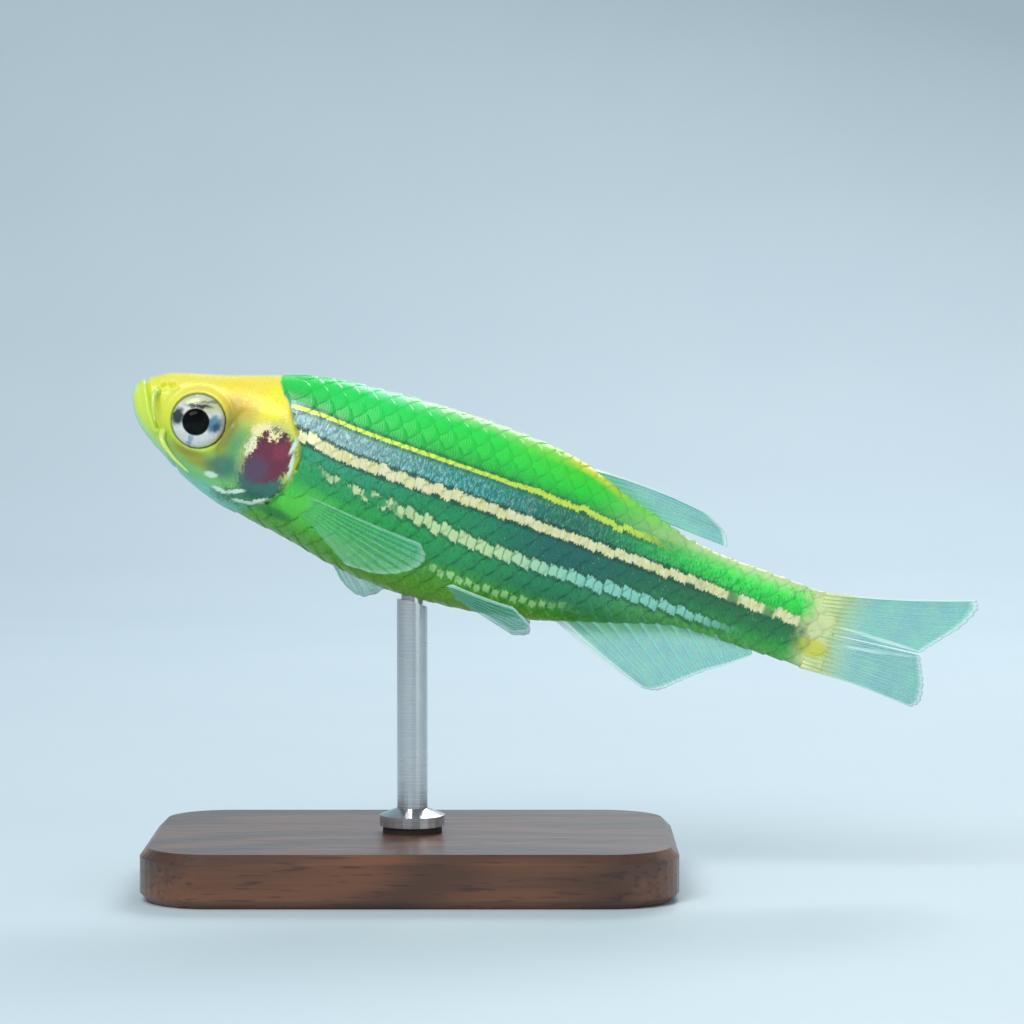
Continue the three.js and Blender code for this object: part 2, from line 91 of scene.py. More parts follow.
# %% Sections of the body
# along, back, belly, half width, squareness of the section (2 is an ellipse)
STATIONS = np.array([
    (-0.35, 1.3, 0.8, 0.3, 2.0),
    (-0.1, 1.9, -0.5, 1.2, 2.1),
    (1.2, 2.95, -2.7, 2.4, 2.3),
    (3, 4.3, -4.4, 3.3, 2.4),
    (6, 5.4, -6.2, 4.2, 2.5),
    (10, 6.5, -8.4, 5.0, 2.5),
    (15, 8.1, -10.1, 5.7, 2.4),
    (20, 9.8, -10.9, 6.2, 2.3),
    (26, 11.0, -11.8, 6.6, 2.2),
    (33, 11.7, -13.3, 6.8, 2.2),
    (40, 12.05, -14.0, 6.7, 2.2),
    (50, 12.05, -13.5, 6.0, 2.2),
    (60, 11.1, -11.9, 4.9, 2.2),
    (70, 7.8, -9.1, 3.6, 2.1),
    (80, 5.2, -6.4, 2.6, 2.1),
    (90, 4.7, -6.2, 1.9, 2.1),
    (99, 4.4, -6.2, 1.2, 2.1),
])


def through(xs, ys):
    """A smooth curve through points, as a function that also takes arrays."""
    xs, ys = np.asarray(xs, float), np.asarray(ys, float)
    before = np.maximum(np.arange(len(xs)) - 1, 0)
    after = np.minimum(np.arange(len(xs)) + 1, len(xs) - 1)
    slopes = (ys[after] - ys[before]) / (xs[after] - xs[before])

    def value(x):
        i = np.clip(np.searchsorted(xs, x) - 1, 0, len(xs) - 2)
        span = xs[i + 1] - xs[i]
        t = np.clip((x - xs[i]) / span, 0, 1)
        rise = t * t * (3 - 2 * t)
        bend = t * (1 - t) ** 2 * slopes[i] - t * t * (1 - t) * slopes[i + 1]
        return ys[i] + (ys[i + 1] - ys[i]) * rise + span * bend

    return value


back_at, belly_at, half_at, square_at = (through(STATIONS[:, 0], c) for c in STATIONS.T[1:])


def section_point(at, angle):
    """Out and up on the body's surface; angle 0 is the right flank, a quarter turn the back."""
    waist = (back_at(at) + belly_at(at)) / 2
    reach = back_at(at) - waist
    power = 2 / square_at(at)
    out = half_at(at) * np.sign(np.cos(angle)) * np.abs(np.cos(angle)) ** power
    up = waist + reach * np.sign(np.sin(angle)) * np.abs(np.sin(angle)) ** power
    return out, up


def body_point(at, angle):
    out, up = section_point(at, angle)
    return np.stack([at + 0 * out, out, up], axis=-1)


def body_normal(at, angle):
    """Direction straight out of the body, from two small steps over its surface."""
    step = 0.02
    forward = body_point(at + step, angle) - body_point(at - step, angle)
    around = body_point(at, angle + step) - body_point(at, angle - step)
    normal = np.cross(around, forward)
    return normal / np.maximum(np.linalg.norm(normal, axis=-1, keepdims=True), 1e-9)


print("deepest section:", round(float(back_at(42) - belly_at(42)), 1), "per cent")

# %% [markdown]
# ## Lines on the head
# Danios have a steep mouth that opens upwards, a round eye, two pairs of nostrils and a gill
# cover with a free rear edge. Each is a line or a spot in the side view. The same lines shape
# the skin here and guide the colours later.

# %% Mouth, jaw, gill cover and nostrils
GILL_LINE = [
    (18.6, 15), (19.5, 9.5), (21.6, 4.6), (23.7, 1.2), (24.3, -1.6), (23.8, -4.4),
    (22.2, -7.2), (19.2, -9.8), (16.4, -13),
]
MOUTH_LINE = [(-1.4, 4.8), (1.0, 2.75), (2.2, 0.9), (3.3, -1.1), (4.6, -2.9)]
JAW_LINE = [(4.6, -2.9), (6.6, -4.9), (8.6, -7.6), (9.6, -12)]
CHEEK_LINE = [(15.0, 3.0), (13.9, 0.2), (13.6, -3.2), (14.8, -6.6), (17.6, -8.6), (20.6, -8.8)]
THROAT_LINES = [
    [(13.2, -8.3), (16.2, -9.5), (19.4, -9.4), (22.0, -7.9)],
    [(11.4, -8.4), (14.4, -9.7), (17.8, -10.1)],
]
NOSTRILS = [(3.6, 2.9, 0.5), (4.8, 3.35, 0.6)]
# each groove: its line, its depth in millimetres and its half width in per cent
GROOVES = [(JAW_LINE, 0.09, 0.22), (CHEEK_LINE, 0.07, 0.22)]
GROOVES += [(line, 0.07, 0.2) for line in THROAT_LINES]


def smooth_line(points, count=40):
    """Even points along a smooth curve through the given ones."""
    points = np.asarray(points, float)
    run = np.concatenate([[0], np.cumsum(np.linalg.norm(np.diff(points, axis=0), axis=1))])
    at = np.linspace(0, run[-1], count)
    return np.stack([through(run, column)(at) for column in points.T], axis=-1)


def distance_to(points, at, up):
    """Distance in the side view from each place to a smooth line."""
    line = smooth_line(points)
    nearest = np.full(np.shape(at), 1e9)
    for (x0, y0), (x1, y1) in zip(line, line[1:]):
        dx, dy = x1 - x0, y1 - y0
        share = np.clip(((at - x0) * dx + (up - y0) * dy) / (dx * dx + dy * dy), 0, 1)
        nearest = np.minimum(nearest, np.hypot(at - x0 - share * dx, up - y0 - share * dy))
    return nearest


gill_edge = through([p[1] for p in GILL_LINE[::-1]], [p[0] for p in GILL_LINE[::-1]])


def smooth_step(x, low, high):
    t = np.clip((x - low) / (high - low), 0, 1)
    return t * t * (3 - 2 * t)


def ridge(distance, width):
    return np.exp(-((distance / width) ** 2))


print("gill cover reaches", round(float(gill_edge(-1.6)), 1), "per cent")

# %% [markdown]
# ## Relief of the skin
# The plain sections give a bar of soap. What makes it a head is a little relief: the mouth is
# a cut between two soft lips, the gill cover stands proud and drops sharply at its rear edge,
# and the eye lies in a round socket. The relief is worked out as a lift, in millimetres, at
# each place on the skin, so that one closed mesh carries it all.

# %% How far the skin lifts
SKIN_LIFT = -0.04
SOCKET_DEPTH = 1.0


def relief(at, up):
    """How far the skin lifts, in millimetres, at a place in the side view."""
    mouth = distance_to(MOUTH_LINE, at, up)
    lift = 0.06 * ridge(mouth - 0.5, 0.42) - 0.26 * ridge(mouth, 0.18)
    behind = at - gill_edge(up)
    cover = smooth_step(behind, -9, -0.6) * smooth_step(-behind, 0.0, 0.28)
    lift += cover * 0.16 * smooth_step(up, -12, -8) * smooth_step(7.5 - up, 0, 4)
    on_side = smooth_step(up, -12, -9) * smooth_step(8 - up, 0, 4)
    lift -= 0.13 * ridge(behind - 0.42, 0.42) * on_side
    for line, depth, width in GROOVES:
        lift -= depth * ridge(distance_to(line, at, up), width)
    for nostril_at, nostril_up, radius in NOSTRILS:
        spot = np.hypot(at - nostril_at, up - nostril_up)
        lift += 0.05 * ridge(spot - radius, 0.22) - 0.22 * ridge(spot, radius * 0.62)
    eye = np.hypot(at - EYE_AT, up - EYE_UP)
    lift += 0.05 * ridge(eye - 4.05, 0.3) - 0.04 * ridge(eye - 4.9, 0.35)
    return lift - SOCKET_DEPTH * smooth_step(-eye, -3.74, -3.5)


print("socket depth", SOCKET_DEPTH, "mm")

# %% [markdown]
# ## Paint from nodes
# A material is a small network: coordinates go in, masks come out, and the masks choose
# colours. A Signal stands for one output of a node. Sums of signals add the nodes that work
# them out, so a network reads like plain maths: `a * 2 + b`, `abs(a)`, `a | b` for the larger
# of two and `a & b` for the smaller. `mask.mix(under, over)` lays one colour over another.

# %% Helpers that wire nodes


def linear(code):
    """A colour such as '10e040' as the linear values that nodes use."""
    channels = [int(code[i:i + 2], 16) / 255 for i in (0, 2, 4)]
    return [c / 12.92 if c <= 0.04045 else ((c + 0.055) / 1.055) ** 2.4 for c in channels] + [1]


def feed(socket, value):
    """Links a signal to a socket, or sets the socket to a number, vector or colour code."""
    if isinstance(value, Signal):
        socket.id_data.links.new(value.socket, socket)
    else:
        socket.default_value = linear(value) if isinstance(value, str) else value


def signal(tree, kind, inputs=None, output=0, **settings):
    """Adds a node to the tree and gives back one of its outputs."""
    made = tree.nodes.new("ShaderNode" + kind)
    made.location = (190 * (len(tree.nodes) % 24), -230 * (len(tree.nodes) // 24))
    for key, value in settings.items():
        setattr(made, key, value)
    for key, value in (inputs or {}).items():
        feed(made.inputs[key], value)
    return Signal(made.outputs[output])


def worked_out(operation):
    return lambda self, other=0.0: self.via("Math", {0: self, 1: other}, operation=operation)


class Signal:
    """One output of a node, which can be used like a number, a vector or a colour."""

    __add__, __sub__, __mul__ = worked_out("ADD"), worked_out("SUBTRACT"), worked_out("MULTIPLY")
    __truediv__, __or__, __and__ = worked_out("DIVIDE"), worked_out("MAXIMUM"), worked_out("MINIMUM")
    __abs__, fract, floor = worked_out("ABSOLUTE"), worked_out("FRACT"), worked_out("FLOOR")
    sine = worked_out("SINE")

    def __init__(self, socket):
        self.socket = socket

    def __rsub__(self, other):
        return self.via("Math", {0: other, 1: self}, operation="SUBTRACT")

    def via(self, kind, inputs, output=0, **settings):
        """A new signal in the same tree."""
        return signal(self.socket.id_data, kind, inputs, output, **settings)

    def vector(self, operation, *others, output=0):
        return self.via("VectorMath", dict(enumerate((self, *others))), output, operation=operation)

    def part(self, axis):
        return self.via("SeparateXYZ", {0: self}, axis)

    def step(self, low, high):
        """0 below low, 1 above high and smooth between; high may be the smaller one."""
        inputs = {"Value": self, "From Min": low, "From Max": high}
        return self.via("MapRange", inputs, "Result", interpolation_type="SMOOTHSTEP")

    def between(self, start, full, fading, end):
        """1 along a stretch, with a soft start and a soft end."""
        return self.step(start, full) * self.step(end, fading)

    def mix(self, under, over):
        """The colour under where this mask is 0, and the colour over where it is 1."""
        return self.via("Mix", {0: self, 6: under, 7: over}, 2, data_type="RGBA")

    def ramp(self, low, high, stops):
        """Colours along a number that runs from low to high."""
        made = self.via("ValToRGB", {0: (self - low) / (high - low)})
        elements = made.socket.node.color_ramp.elements
        while len(elements) < len(stops):
            elements.new(0.5)
        for element, (place, code) in zip(elements, sorted(stops)):
            element.position = (place - low) / (high - low)
            element.color = linear(code)
        return made

    def track(self, points, low=0.0, high=120.0, floor=-20.0, top=20.0):
        """A smooth curve through points."""
        made = self.via("FloatCurve", {"Value": (self - low) / (high - low)})
        mapping = made.socket.node.mapping
        curve = mapping.curves[0]
        ordered = sorted(((px - low) / (high - low), (py - floor) / (top - floor)) for px, py in points)
        while len(curve.points) < len(ordered):
            curve.points.new(0.5, 0.5)
        for point, place in zip(curve.points, ordered):
            point.location = place
        mapping.update()
        return made * (top - floor) + floor

    def noise(self, scale, detail=2.0, rough=0.5, output=0):
        inputs = {"Vector": self, "Scale": scale, "Detail": detail, "Roughness": rough}
        return self.via("TexNoise", inputs, output)

    def scaled(self, *scale):
        """A vector stretched by a different amount along each axis."""
        return self.vector("MULTIPLY", scale)

    def spot(self, at, up, length, height, turn=0.0, soft=0.35):
        """1 inside an oval spot in the side view, fading over its edge."""
        near = self.via("Mapping", {
            "Vector": self, "Location": (at, 0, up), "Rotation": (0, math.radians(turn), 0),
            "Scale": (length, 1, height),
        }, vector_type="TEXTURE")
        return near.vector("LENGTH", output="Value").step(1 + soft, 1 - soft)

    def bump(self, strength, distance, invert=False):
        """The normal of a surface with this height, in metres."""
        inputs = {"Height": self, "Strength": strength, "Distance": distance}
        return self.via("Bump", inputs, invert=invert)


def painted(colour, *layers):
    """A colour under layers, each a mask and its colour, laid one after the other."""
    for mask, over in layers:
        colour = mask.mix(colour, over)
    return colour


def spotted(colour, flat, spots):
    """A colour under soft oval spots, laid one after the other."""
    for *shape, strength, code in spots:
        colour = (flat.spot(*shape) * strength).mix(colour, code)
    return colour


def set_inputs(node, **values):
    """Feeds a node's sockets, whose names are written here in small letters."""
    for key, value in values.items():
        feed(node.inputs[key.replace("_", " ").title().replace("Ior", "IOR")], value)


def new_group(name, inputs, outputs):
    """An empty node group: its tree, the signals that it is given and its output node."""
    tree = bpy.data.node_groups.new(name, "ShaderNodeTree")
    for direction, sockets in (("INPUT", inputs), ("OUTPUT", outputs)):
        for label, kind in sockets.items():
            tree.interface.new_socket(label, in_out=direction, socket_type="NodeSocket" + kind)
    given = tree.nodes.new("NodeGroupInput").outputs
    return tree, {label: Signal(given[label]) for label in inputs}, tree.nodes.new("NodeGroupOutput")


def use_group(tree, name, inputs=None):
    """All outputs of a node group that is used in a tree."""
    node = signal(tree, "Group", node_tree=bpy.data.node_groups[name]).socket.node
    for key, value in (inputs or {}).items():
        feed(node.inputs[key], value)
    return {output.name: Signal(output) for output in node.outputs}


def new_material(name):
    material = bpy.data.materials.new(name)
    material.use_nodes = True
    tree = material.node_tree
    return material, tree, next(n for n in tree.nodes if n.type == "BSDF_PRINCIPLED")


def object_place(tree):
    return signal(tree, "TexCoord", output="Object")


print("node helpers ready")

# %% [markdown]
# ## Where on the fish
# Every pattern needs to know which part of the fish it is painting. Object coordinates are
# metres from the stand's middle. A Mapping node turns them into the fish's own frame: along
# from the snout, out from the middle plane and up from the axis, in per cent. Skin and
# scales share it, so their markings line up. "Flat" is the same place seen from the side.

# %% A group that gives the place on the fish
tree, given, result = new_group("place_on_fish", {}, {"Place": "Vector", "Flat": "Vector"})
place = signal(tree, "Mapping", {
    "Vector": object_place(tree), "Location": -(tilt.inverted() @ snout) / PERCENT,
    "Rotation": (0, -TILT, 0), "Scale": (1 / PERCENT,) * 3,
}, vector_type="POINT")
set_inputs(result, place=place, flat=place.scaled(1, 0, 1))
print("place_on_fish built")

# %% [markdown]
# ## The markings of a fluorescent green danio
# The flank carries thin pale stripes with dark bands between them, under a back of vivid
# green. The head is yellow, with a cyan edge along the jaw, and a wine-red window of gill
# shows through the cover. Colours are laid in the painter's order: ground first, then
# bands, then stripes, then the head. The stripes break into small blocks, one per scale,
# which a saw-tooth along the body makes.

# %% Stripes as curves along the body
LINE_ONE = [(0, 6.0), (21, 5.8), (25, 5.9), (30, 5.6), (40, 5.4), (50, 5.3), (60, 5.0), (66, 4.5),
            (71, 3.9), (76, 3.7), (120, 3.7)]
MAIN_STRIPE = [(0, 3.0), (23, 2.5), (27, 2.0), (30, 1.6), (35, 1.4), (50, 1.2), (60, 0.9), (70, 0.6),
               (80, 0.3), (90, -0.2), (100, -0.2), (120, 0)]
SECOND_STRIPE = [(0, -0.2), (26, -1.1), (32, -2.2), (40, -2.8), (47, -3.8), (55, -4.2), (65, -4.2),
                 (75, -4.1), (85, -4.3), (120, -4.3)]
THIRD_STRIPE = [(0, -10), (40, -9.6), (46, -9.2), (52, -9.5), (60, -9.3), (66, -8.2), (120, -7)]
MAIN_HALF = [(0, 0.65), (26, 0.6), (45, 0.6), (60, 0.5), (80, 0.48), (100, 0.6), (120, 0.6)]
SECOND_HALF = [(0, 0.3), (28, 0.36), (40, 0.62), (60, 0.66), (75, 0.6), (88, 0.3), (120, 0.2)]
SCALE_PITCH = 2.6
SCALE_START = 19.2

# %% The ground colours of the flank, with a painted highlight along the back
# each column runs from belly to back; its last stop, pale, is a painted highlight along the back's edge
GROUNDS = [
    (28, [(-15, "66b23e"), (-11.5, "55b82c"), (-8.5, "48cc3c"), (-5.5, "1fa850"), (-3, "27a066"),
          (-0.9, "34a27c"), (0.9, "8fbcb8"), (3.2, "86b4b0"), (4.2, "14b44a"), (6, "12dc52"),
          (8.6, "20ea62"), (9.8, "7cffae")]),
    (45, [(-15.2, "84c44c"), (-13, "66b830"), (-10.4, "40a42c"), (-8.6, "1c9a50"), (-6, "1aa854"),
          (-3.5, "149858"), (-0.9, "14925c"), (0.9, "2e9c92"), (3.4, "2c968a"), (4.4, "0fa83a"),
          (7, "12dc42"), (9.4, "22ea50"), (10.8, "a4f690")]),
    (62, [(-13, "9cd458"), (-11, "52b430"), (-8.6, "168650"), (-6, "128a5c"), (-3.6, "08665e"),
          (-0.9, "066a60"), (0.9, "12725c"), (3.2, "1a785a"), (4.2, "12a23a"), (6.5, "1cdc38"),
          (8.6, "44e432"), (9.8, "9cf052")]),
    (86, [(-6.2, "6cc860"), (-4.4, "2ca43a"), (-2.6, "1a7c42"), (-0.8, "1a6c40"), (0.8, "1cc43c"),
          (2.6, "20ec44"), (3.6, "7af070"), (4.6, "d4f0a8")]),
]
print(len(GROUNDS), "columns of ground colour")


def stripe(up, centre, half, edge):
    """A band that follows a curve along the body."""
    return abs(up - centre).step(half + edge, half)


def root_tone(flat):
    """The warm colours of the tail's root, shared by the skin and the tail fin."""
    return flat.spot(98.0, -3.2, 2.6, 1.3).mix("e0ecaa", "dade58")


# %% The group that paints the body
tree, given, result = new_group(
    "danio_markings", {"Place": "Vector", "Flat": "Vector"},
    {"Color": "Color", "Shine": "Float", "Speckle": "Float"},
)
place, flat = given["Place"], given["Flat"]
along, up = place.part("X"), place.part("Z")

wobble = place.noise(1.1, 3.0) - 0.5
fine = place.scaled(1.0, 1.0, 0.7).noise(3.2, 3.0, 0.7)
strokes = place.scaled(1.0, 1.0, 0.3).noise(4.0, 3.0, 0.75)
blocks = (along - SCALE_START) / SCALE_PITCH
jag = blocks.fract() - 0.5
half_blocks = blocks * 2.0 + wobble * 0.5
half_jag = half_blocks.fract() - 0.5
chance = place.via("TexWhiteNoise", {"W": half_blocks.floor()}, noise_dimensions="1D") - 0.5

main_centre = along.track(MAIN_STRIPE)
over_main = up - main_centre + wobble * 1.2
columns = [over_main.ramp(-16, 12, stops) for at, stops in GROUNDS]
colour = columns[0]
for (left, _), (right, _), ground in zip(GROUNDS, GROUNDS[1:], columns[1:]):
    colour = along.step(left, right).mix(colour, ground)

glitter = over_main.between(0.6, 1.2, 3.4, 4.0) * strokes.step(0.5, 0.64)
hatch = strokes.step(0.5, 0.34) * over_main.step(along * -0.07 + 9.0, 2.5)
flecks = fine.step(0.6, 0.7) * abs(over_main).step(9.0, 5.0)
colour = painted(
    colour, (glitter * (along.step(66, 30) * 0.55 + 0.2), "c8ecea"), (hatch * 0.5, "06503c"),
    (flecks * 0.35, "7cf08a"),
)

# %% Lay the stripes over the ground
rough_edge = (strokes - 0.5) * 1.5
ragged_up = up + rough_edge
rear = along.step(48, 62)
thin_up = up + rough_edge * (rear * 0.5 + 0.45) + chance * rear * 0.7
first_centre = along.track(LINE_ONE)
first = stripe(thin_up, first_centre, rear * 0.14 + 0.18, 0.16) * along.between(20.5, 22, 69, 77)
first_shadow = stripe(ragged_up, first_centre, 0.55, 0.25) * along.between(21, 23, 70, 80)

main_half = along.track(MAIN_HALF)
main_up = ragged_up + chance * 0.35 + jag * 0.25
long_jag = (blocks * 0.5 + 0.2).fract() - 0.5
late_gaps = along.step(79, 84) * abs(long_jag).step(0.3, 0.4)
main_fade = along.between(20.8, 22.6, 97, 101)
main = stripe(main_up, main_centre, main_half, 0.22) * (1.0 - late_gaps * 0.85) * main_fade
main_shadow = stripe(ragged_up, main_centre, main_half + 0.4, 0.3) * main_fade * along.step(92, 78)

second_half, second_centre = along.track(SECOND_HALF), along.track(SECOND_STRIPE)
block_up = ragged_up + chance * 0.32 + jag * 0.5
gaps = abs(half_jag).step(0.36, 0.48)
patchy = along.step(36, 42) | flat.noise(0.5, 1.0).step(0.45, 0.55)
second_fade = along.between(25, 31, 80, 90) * patchy
second = stripe(block_up, second_centre, second_half, 0.2) * (1.0 - gaps * 0.6) * second_fade
second_shadow = stripe(block_up, second_centre, second_half + 0.4, 0.3) * second_fade * 0.7

third = stripe(block_up, along.track(THIRD_STRIPE), 0.36, 0.25)
third = third * abs(half_jag).step(0.46, 0.26) * along.between(44, 47, 60, 67)

shadow = first_shadow * 0.6 | main_shadow | second_shadow
notch = abs(half_jag).step(0.34, 0.5)
cream = painted(wobble.step(0.2, -0.2).mix("fbfbd0", "eeeea6"), (notch * 0.35, "c2c47c"))
colour = painted(
    colour, (shadow * 0.8, "0b4a34"), (first, "d2f25e"), (main, cream),
    (second, along.step(50, 68).mix("d2f2ac", "98e4ca")), (third, "a6e68c"),
)

# %% Warm root of the tail, and the fin bases
tail_root = (wobble * 3.0 + along).step(94.5, 98.5)
back_line = along.track([(max(p[0], 0), p[1]) for p in STATIONS[1:]] + [(120, 4.4)])
dorsal_streak = (back_line - up).step(1.5, 0.4) * along.between(57, 61, 70, 77)
pectoral_base = flat.spot(27.6, -6.9, 4.6, 2.4, 10, 0.6)
under_gill = flat.spot(23.4, -8.7, 2.3, 0.7, 5, 0.5)
colour = painted(
    colour, (tail_root, root_tone(flat)),
    (dorsal_streak * 0.8, along.step(63, 70).mix("eef03a", "86f04a")),
    (pectoral_base * 0.75, "54dc44"), (under_gill * 0.8, "0c7434"),
)
print("flank painted")

# %% The head's colours
ragged = place.via("CombineXYZ", {
    "X": (fine - 0.5) * 2.6 + along, "Z": (flat.noise(2.3) - 0.5) * 2.6 + up,
})
# the head from throat to top; the last stop, pale, is a painted highlight along the head's upper edge
head = up.ramp(-12, 9, [
    (-11, "5ab07c"), (-8.6, "6cc48a"), (-6, "8ecc66"), (-4, "b4d84a"), (-1.5, "d2e03e"),
    (2, "e2e04c"), (5, "efe25a"), (8, "dce69a"),
])
# along, up, length, height, turn, softness, strength, colour
HEAD_SPOTS = [
    (2.4, 1.4, 3.4, 4.2, 0, 0.6, 0.75, "e6ec48"),
    (7.5, 5.0, 5.5, 1.6, -8, 0.6, 0.7, "f4ea5c"),
    (15.4, 6.2, 4.8, 2.8, -14, 0.45, 0.9, "fbe444"),
    (18.8, 5.4, 1.7, 2.6, 0, 0.5, 0.9, "f8f02a"),
    (14.4, 3.3, 2.4, 1.5, 0, 0.6, 0.75, "cfa62c"),
    (14.0, -0.4, 1.4, 3.2, 0, 0.6, 0.85, "847a20"),
    (10.7, -5.0, 3.6, 1.0, 8, 0.6, 0.8, "98901e"),
    (16.2, -2.4, 1.8, 3.8, 0, 0.6, 0.85, "3f9c68"),
    (14.6, -4.9, 2.2, 1.6, 0, 0.6, 0.8, "1f6c66"),
    (9.0, -8.0, 6.5, 2.2, 18, 0.5, 0.75, "70c48a"),
    (14.0, -9.3, 3.8, 1.3, 10, 0.6, 0.75, "8cdccb"),
]
head = spotted(head, flat, HEAD_SPOTS)

# %% The gill cover's window, and painted highlights on the folds below it
GILL_SPOTS = [
    (20.1, -1.6, 3.6, 4.6, 14, 0.2, 0.85, "b4c47c"),
    (20.4, -1.8, 3.1, 4.0, 24, 0.12, 0.8, "24382c"),
    (20.3, -5.6, 3.2, 2.2, -8, 0.25, 0.95, "1c6660"),
    (20.4, -1.9, 2.8, 3.6, 24, 0.14, 1.0, "6c2440"),
    (19.0, -4.0, 1.7, 1.9, 24, 0.5, 0.85, "524460"),
    (21.6, -0.4, 1.0, 1.4, 10, 0.5, 0.5, "94344e"),
    (19.2, 1.5, 2.3, 1.05, -8, 0.25, 1.0, "f6ecb0"),
    (17.6, -1.0, 0.5, 1.5, 8, 0.3, 0.95, "f4f0cc"),
    (19.0, 0.7, 0.45, 1.1, 14, 0.3, 1.0, "5c2038"),
    (21.4, 1.3, 0.5, 0.9, -10, 0.3, 1.0, "5c2038"),
    (20.2, 2.1, 0.7, 0.35, 0, 0.4, 0.8, "3c5c30"),
]
# painted highlights: pale strokes on the folds under the gill cover and along its rear edge
# along, up, length, height, turn
GILL_HIGHLIGHT_STROKES = [
    (13.6, -6.5, 0.85, 0.4, -8), (15.4, -8.1, 1.1, 0.3, 8), (17.4, -7.6, 1.3, 0.28, -24),
    (18.9, -8.6, 1.5, 0.26, -6), (21.2, -7.7, 1.5, 0.34, -26), (23.5, -6.1, 0.8, 0.34, -26),
    (23.2, 1.2, 0.3, 1.6, 12), (23.6, -2.0, 0.26, 1.8, -6),
]
barely_ragged = place.via("Mix", {0: 0.25, 4: flat, 5: ragged}, 1, data_type="VECTOR")
gill_highlights = barely_ragged.spot(*GILL_HIGHLIGHT_STROKES[0])
for stroke in GILL_HIGHLIGHT_STROKES[1:]:
    gill_highlights = gill_highlights | barely_ragged.spot(*stroke)
dark_lines = ragged.spot(18.6, -8.0, 4.2, 1.1, -10, 0.4)
head = spotted(head, ragged, GILL_SPOTS)
# the painted highlights of the strokes go on last, in pale green-white
head = painted(head, (dark_lines * 0.75, "135a44"), (gill_highlights, "d8f4dc"))

# %% Freckles, jaw edge, then join head and flank
freckles = flat.noise(4.5, 1.0).step(0.64, 0.72) * up.step(1.5, 3.5) * along.step(3.0, 7.0)
mouth_at = up.track([(p[1], p[0]) for p in MOUTH_LINE] + [(-12, 11)], -12.0, 5.0, -4.0, 12.0)
jaw = (along - mouth_at).step(0.35, -0.15)
belly_front = along.track([(max(p[0], 0), p[2]) for p in STATIONS[1:7]] + [(120, -10.1)])
rim = (up - belly_front).step(1.7, 0.3) * along.step(16, 9)
tip = along.step(0.7, -0.2) * up.step(3.0, 1.6)
head = painted(
    head, (freckles * 0.4, "8a7c1c"), (jaw * 0.5, "c8ee62"), ((rim | tip) * 0.55, "a6f0e2"),
)
gill_at = up.track([(p[1], p[0]) for p in GILL_LINE], -13.0, 15.0, 14.0, 26.0)
gill_at = gill_at - up.step(4.5, 8.5) * 1.4
on_head = (along - (wobble * 0.8 + gill_at)).step(0.35, -0.2)
# on the head, the painted gill highlights are also made a little metallic
shine = (main | second | first) * (1.0 - on_head) | gill_highlights * on_head
set_inputs(
    result, color=on_head.mix(colour, head), shine=shine * 0.45 | glitter * 0.3, speckle=fine,
)
print("danio_markings has", len(tree.nodes), "nodes")

# %% [markdown]
# ## Skin and scale finishes
# A live danio is wet and smooth, a little see-through, with silvery cells under the pale
# stripes. One shader does this: the markings give its colour, the shine mask makes the
# stripes slightly metallic, some light scatters under the surface, and a clear coat stands
# for the wet film. Scales use the same shader with growth rings as a fine bump.

# %% Materials of the skin and the scales


def wet_skin(name, height_of, distance):
    material, tree, shader = new_material(name)
    where = use_group(tree, "place_on_fish")
    paint = use_group(tree, "danio_markings", where)
    set_inputs(
        shader, base_color=paint["Color"], metallic=paint["Shine"],
        roughness=paint["Speckle"] * 0.3 + 0.26,
        normal=height_of(tree, where["Place"], paint["Speckle"]).bump(0.6, distance),
        subsurface_weight=0.15, subsurface_scale=0.0006, subsurface_radius=(0.6, 1.0, 0.5),
        coat_weight=0.22, coat_roughness=0.12,
    )
    return material


def skin_height(tree, place, speckle):
    return place.noise(2.6, 4.0, 0.6) + speckle * 0.4


def scale_height(tree, place, speckle):
    growth_rings = (attribute(tree, "reach") * 70.0).sine()
    return growth_rings * 0.25 + speckle * 0.6


def attribute(tree, name):
    """A number that the mesh carries at each of its points."""
    return signal(tree, "Attribute", output="Fac", attribute_name=name)


skin_finish = wet_skin("wet_skin", skin_height, 0.00005)
scale_finish = wet_skin("scale_sheen", scale_height, 0.000015)
print("finishes:", skin_finish.name, scale_finish.name)

# %% [markdown]
# ## Rolling a sheet into the skin
# The skin is one closed mesh over head, jaws, gill covers, trunk and tail, so no seam shows.
# A loft could be built ring by ring, but a grid is simpler: one flat sheet whose corners are
# then moved to the body's surface, with its two long edges merged along the belly. The flat
# sheet also gives the unwrap for free, because its UV map is made with it.

# %% A sheet placed by a function
BAKE_MAP = "OFBake"


def new_sheet_mesh():
    bm = bmesh.new()
    bm.loops.layers.uv.new(BAKE_MAP)
    return bm


def add_sheet(bm, across, along, place):
    """Adds a grid whose corners go where place(s, t) says, in per cent of the fish."""
    made = bmesh.ops.create_grid(bm, x_segments=across, y_segments=along, size=0.5, calc_uvs=True)
    flat = np.array([v.co for v in made["verts"]])
    points = to_world(place(flat[:, 0] + 0.5, flat[:, 1] + 0.5))
    for vertex, point in zip(made["verts"], points):
        vertex.co = point
    return made["verts"]


def new_object(name, bm, material):
    """Turns a bmesh into a smooth object of the scene."""
    mesh = bpy.data.meshes.new(name)
    bm.to_mesh(mesh)
    bm.free()
    mesh.materials.append(material)
    mesh.shade_smooth()
    made = bpy.data.objects.new(name, mesh)
    bpy.context.scene.collection.objects.link(made)
    return made


def finish_piece(name, bm, material, nodes=()):
    """Puts a new piece on the fish's body, in place of the nodes that it stands for."""
    piece = new_object(name, bm, material)
    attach(piece, "root")
    if nodes:
        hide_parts(*nodes)
    piece.data.calc_loop_triangles()
    print(name, "has", len(piece.data.loop_triangles), "triangles")


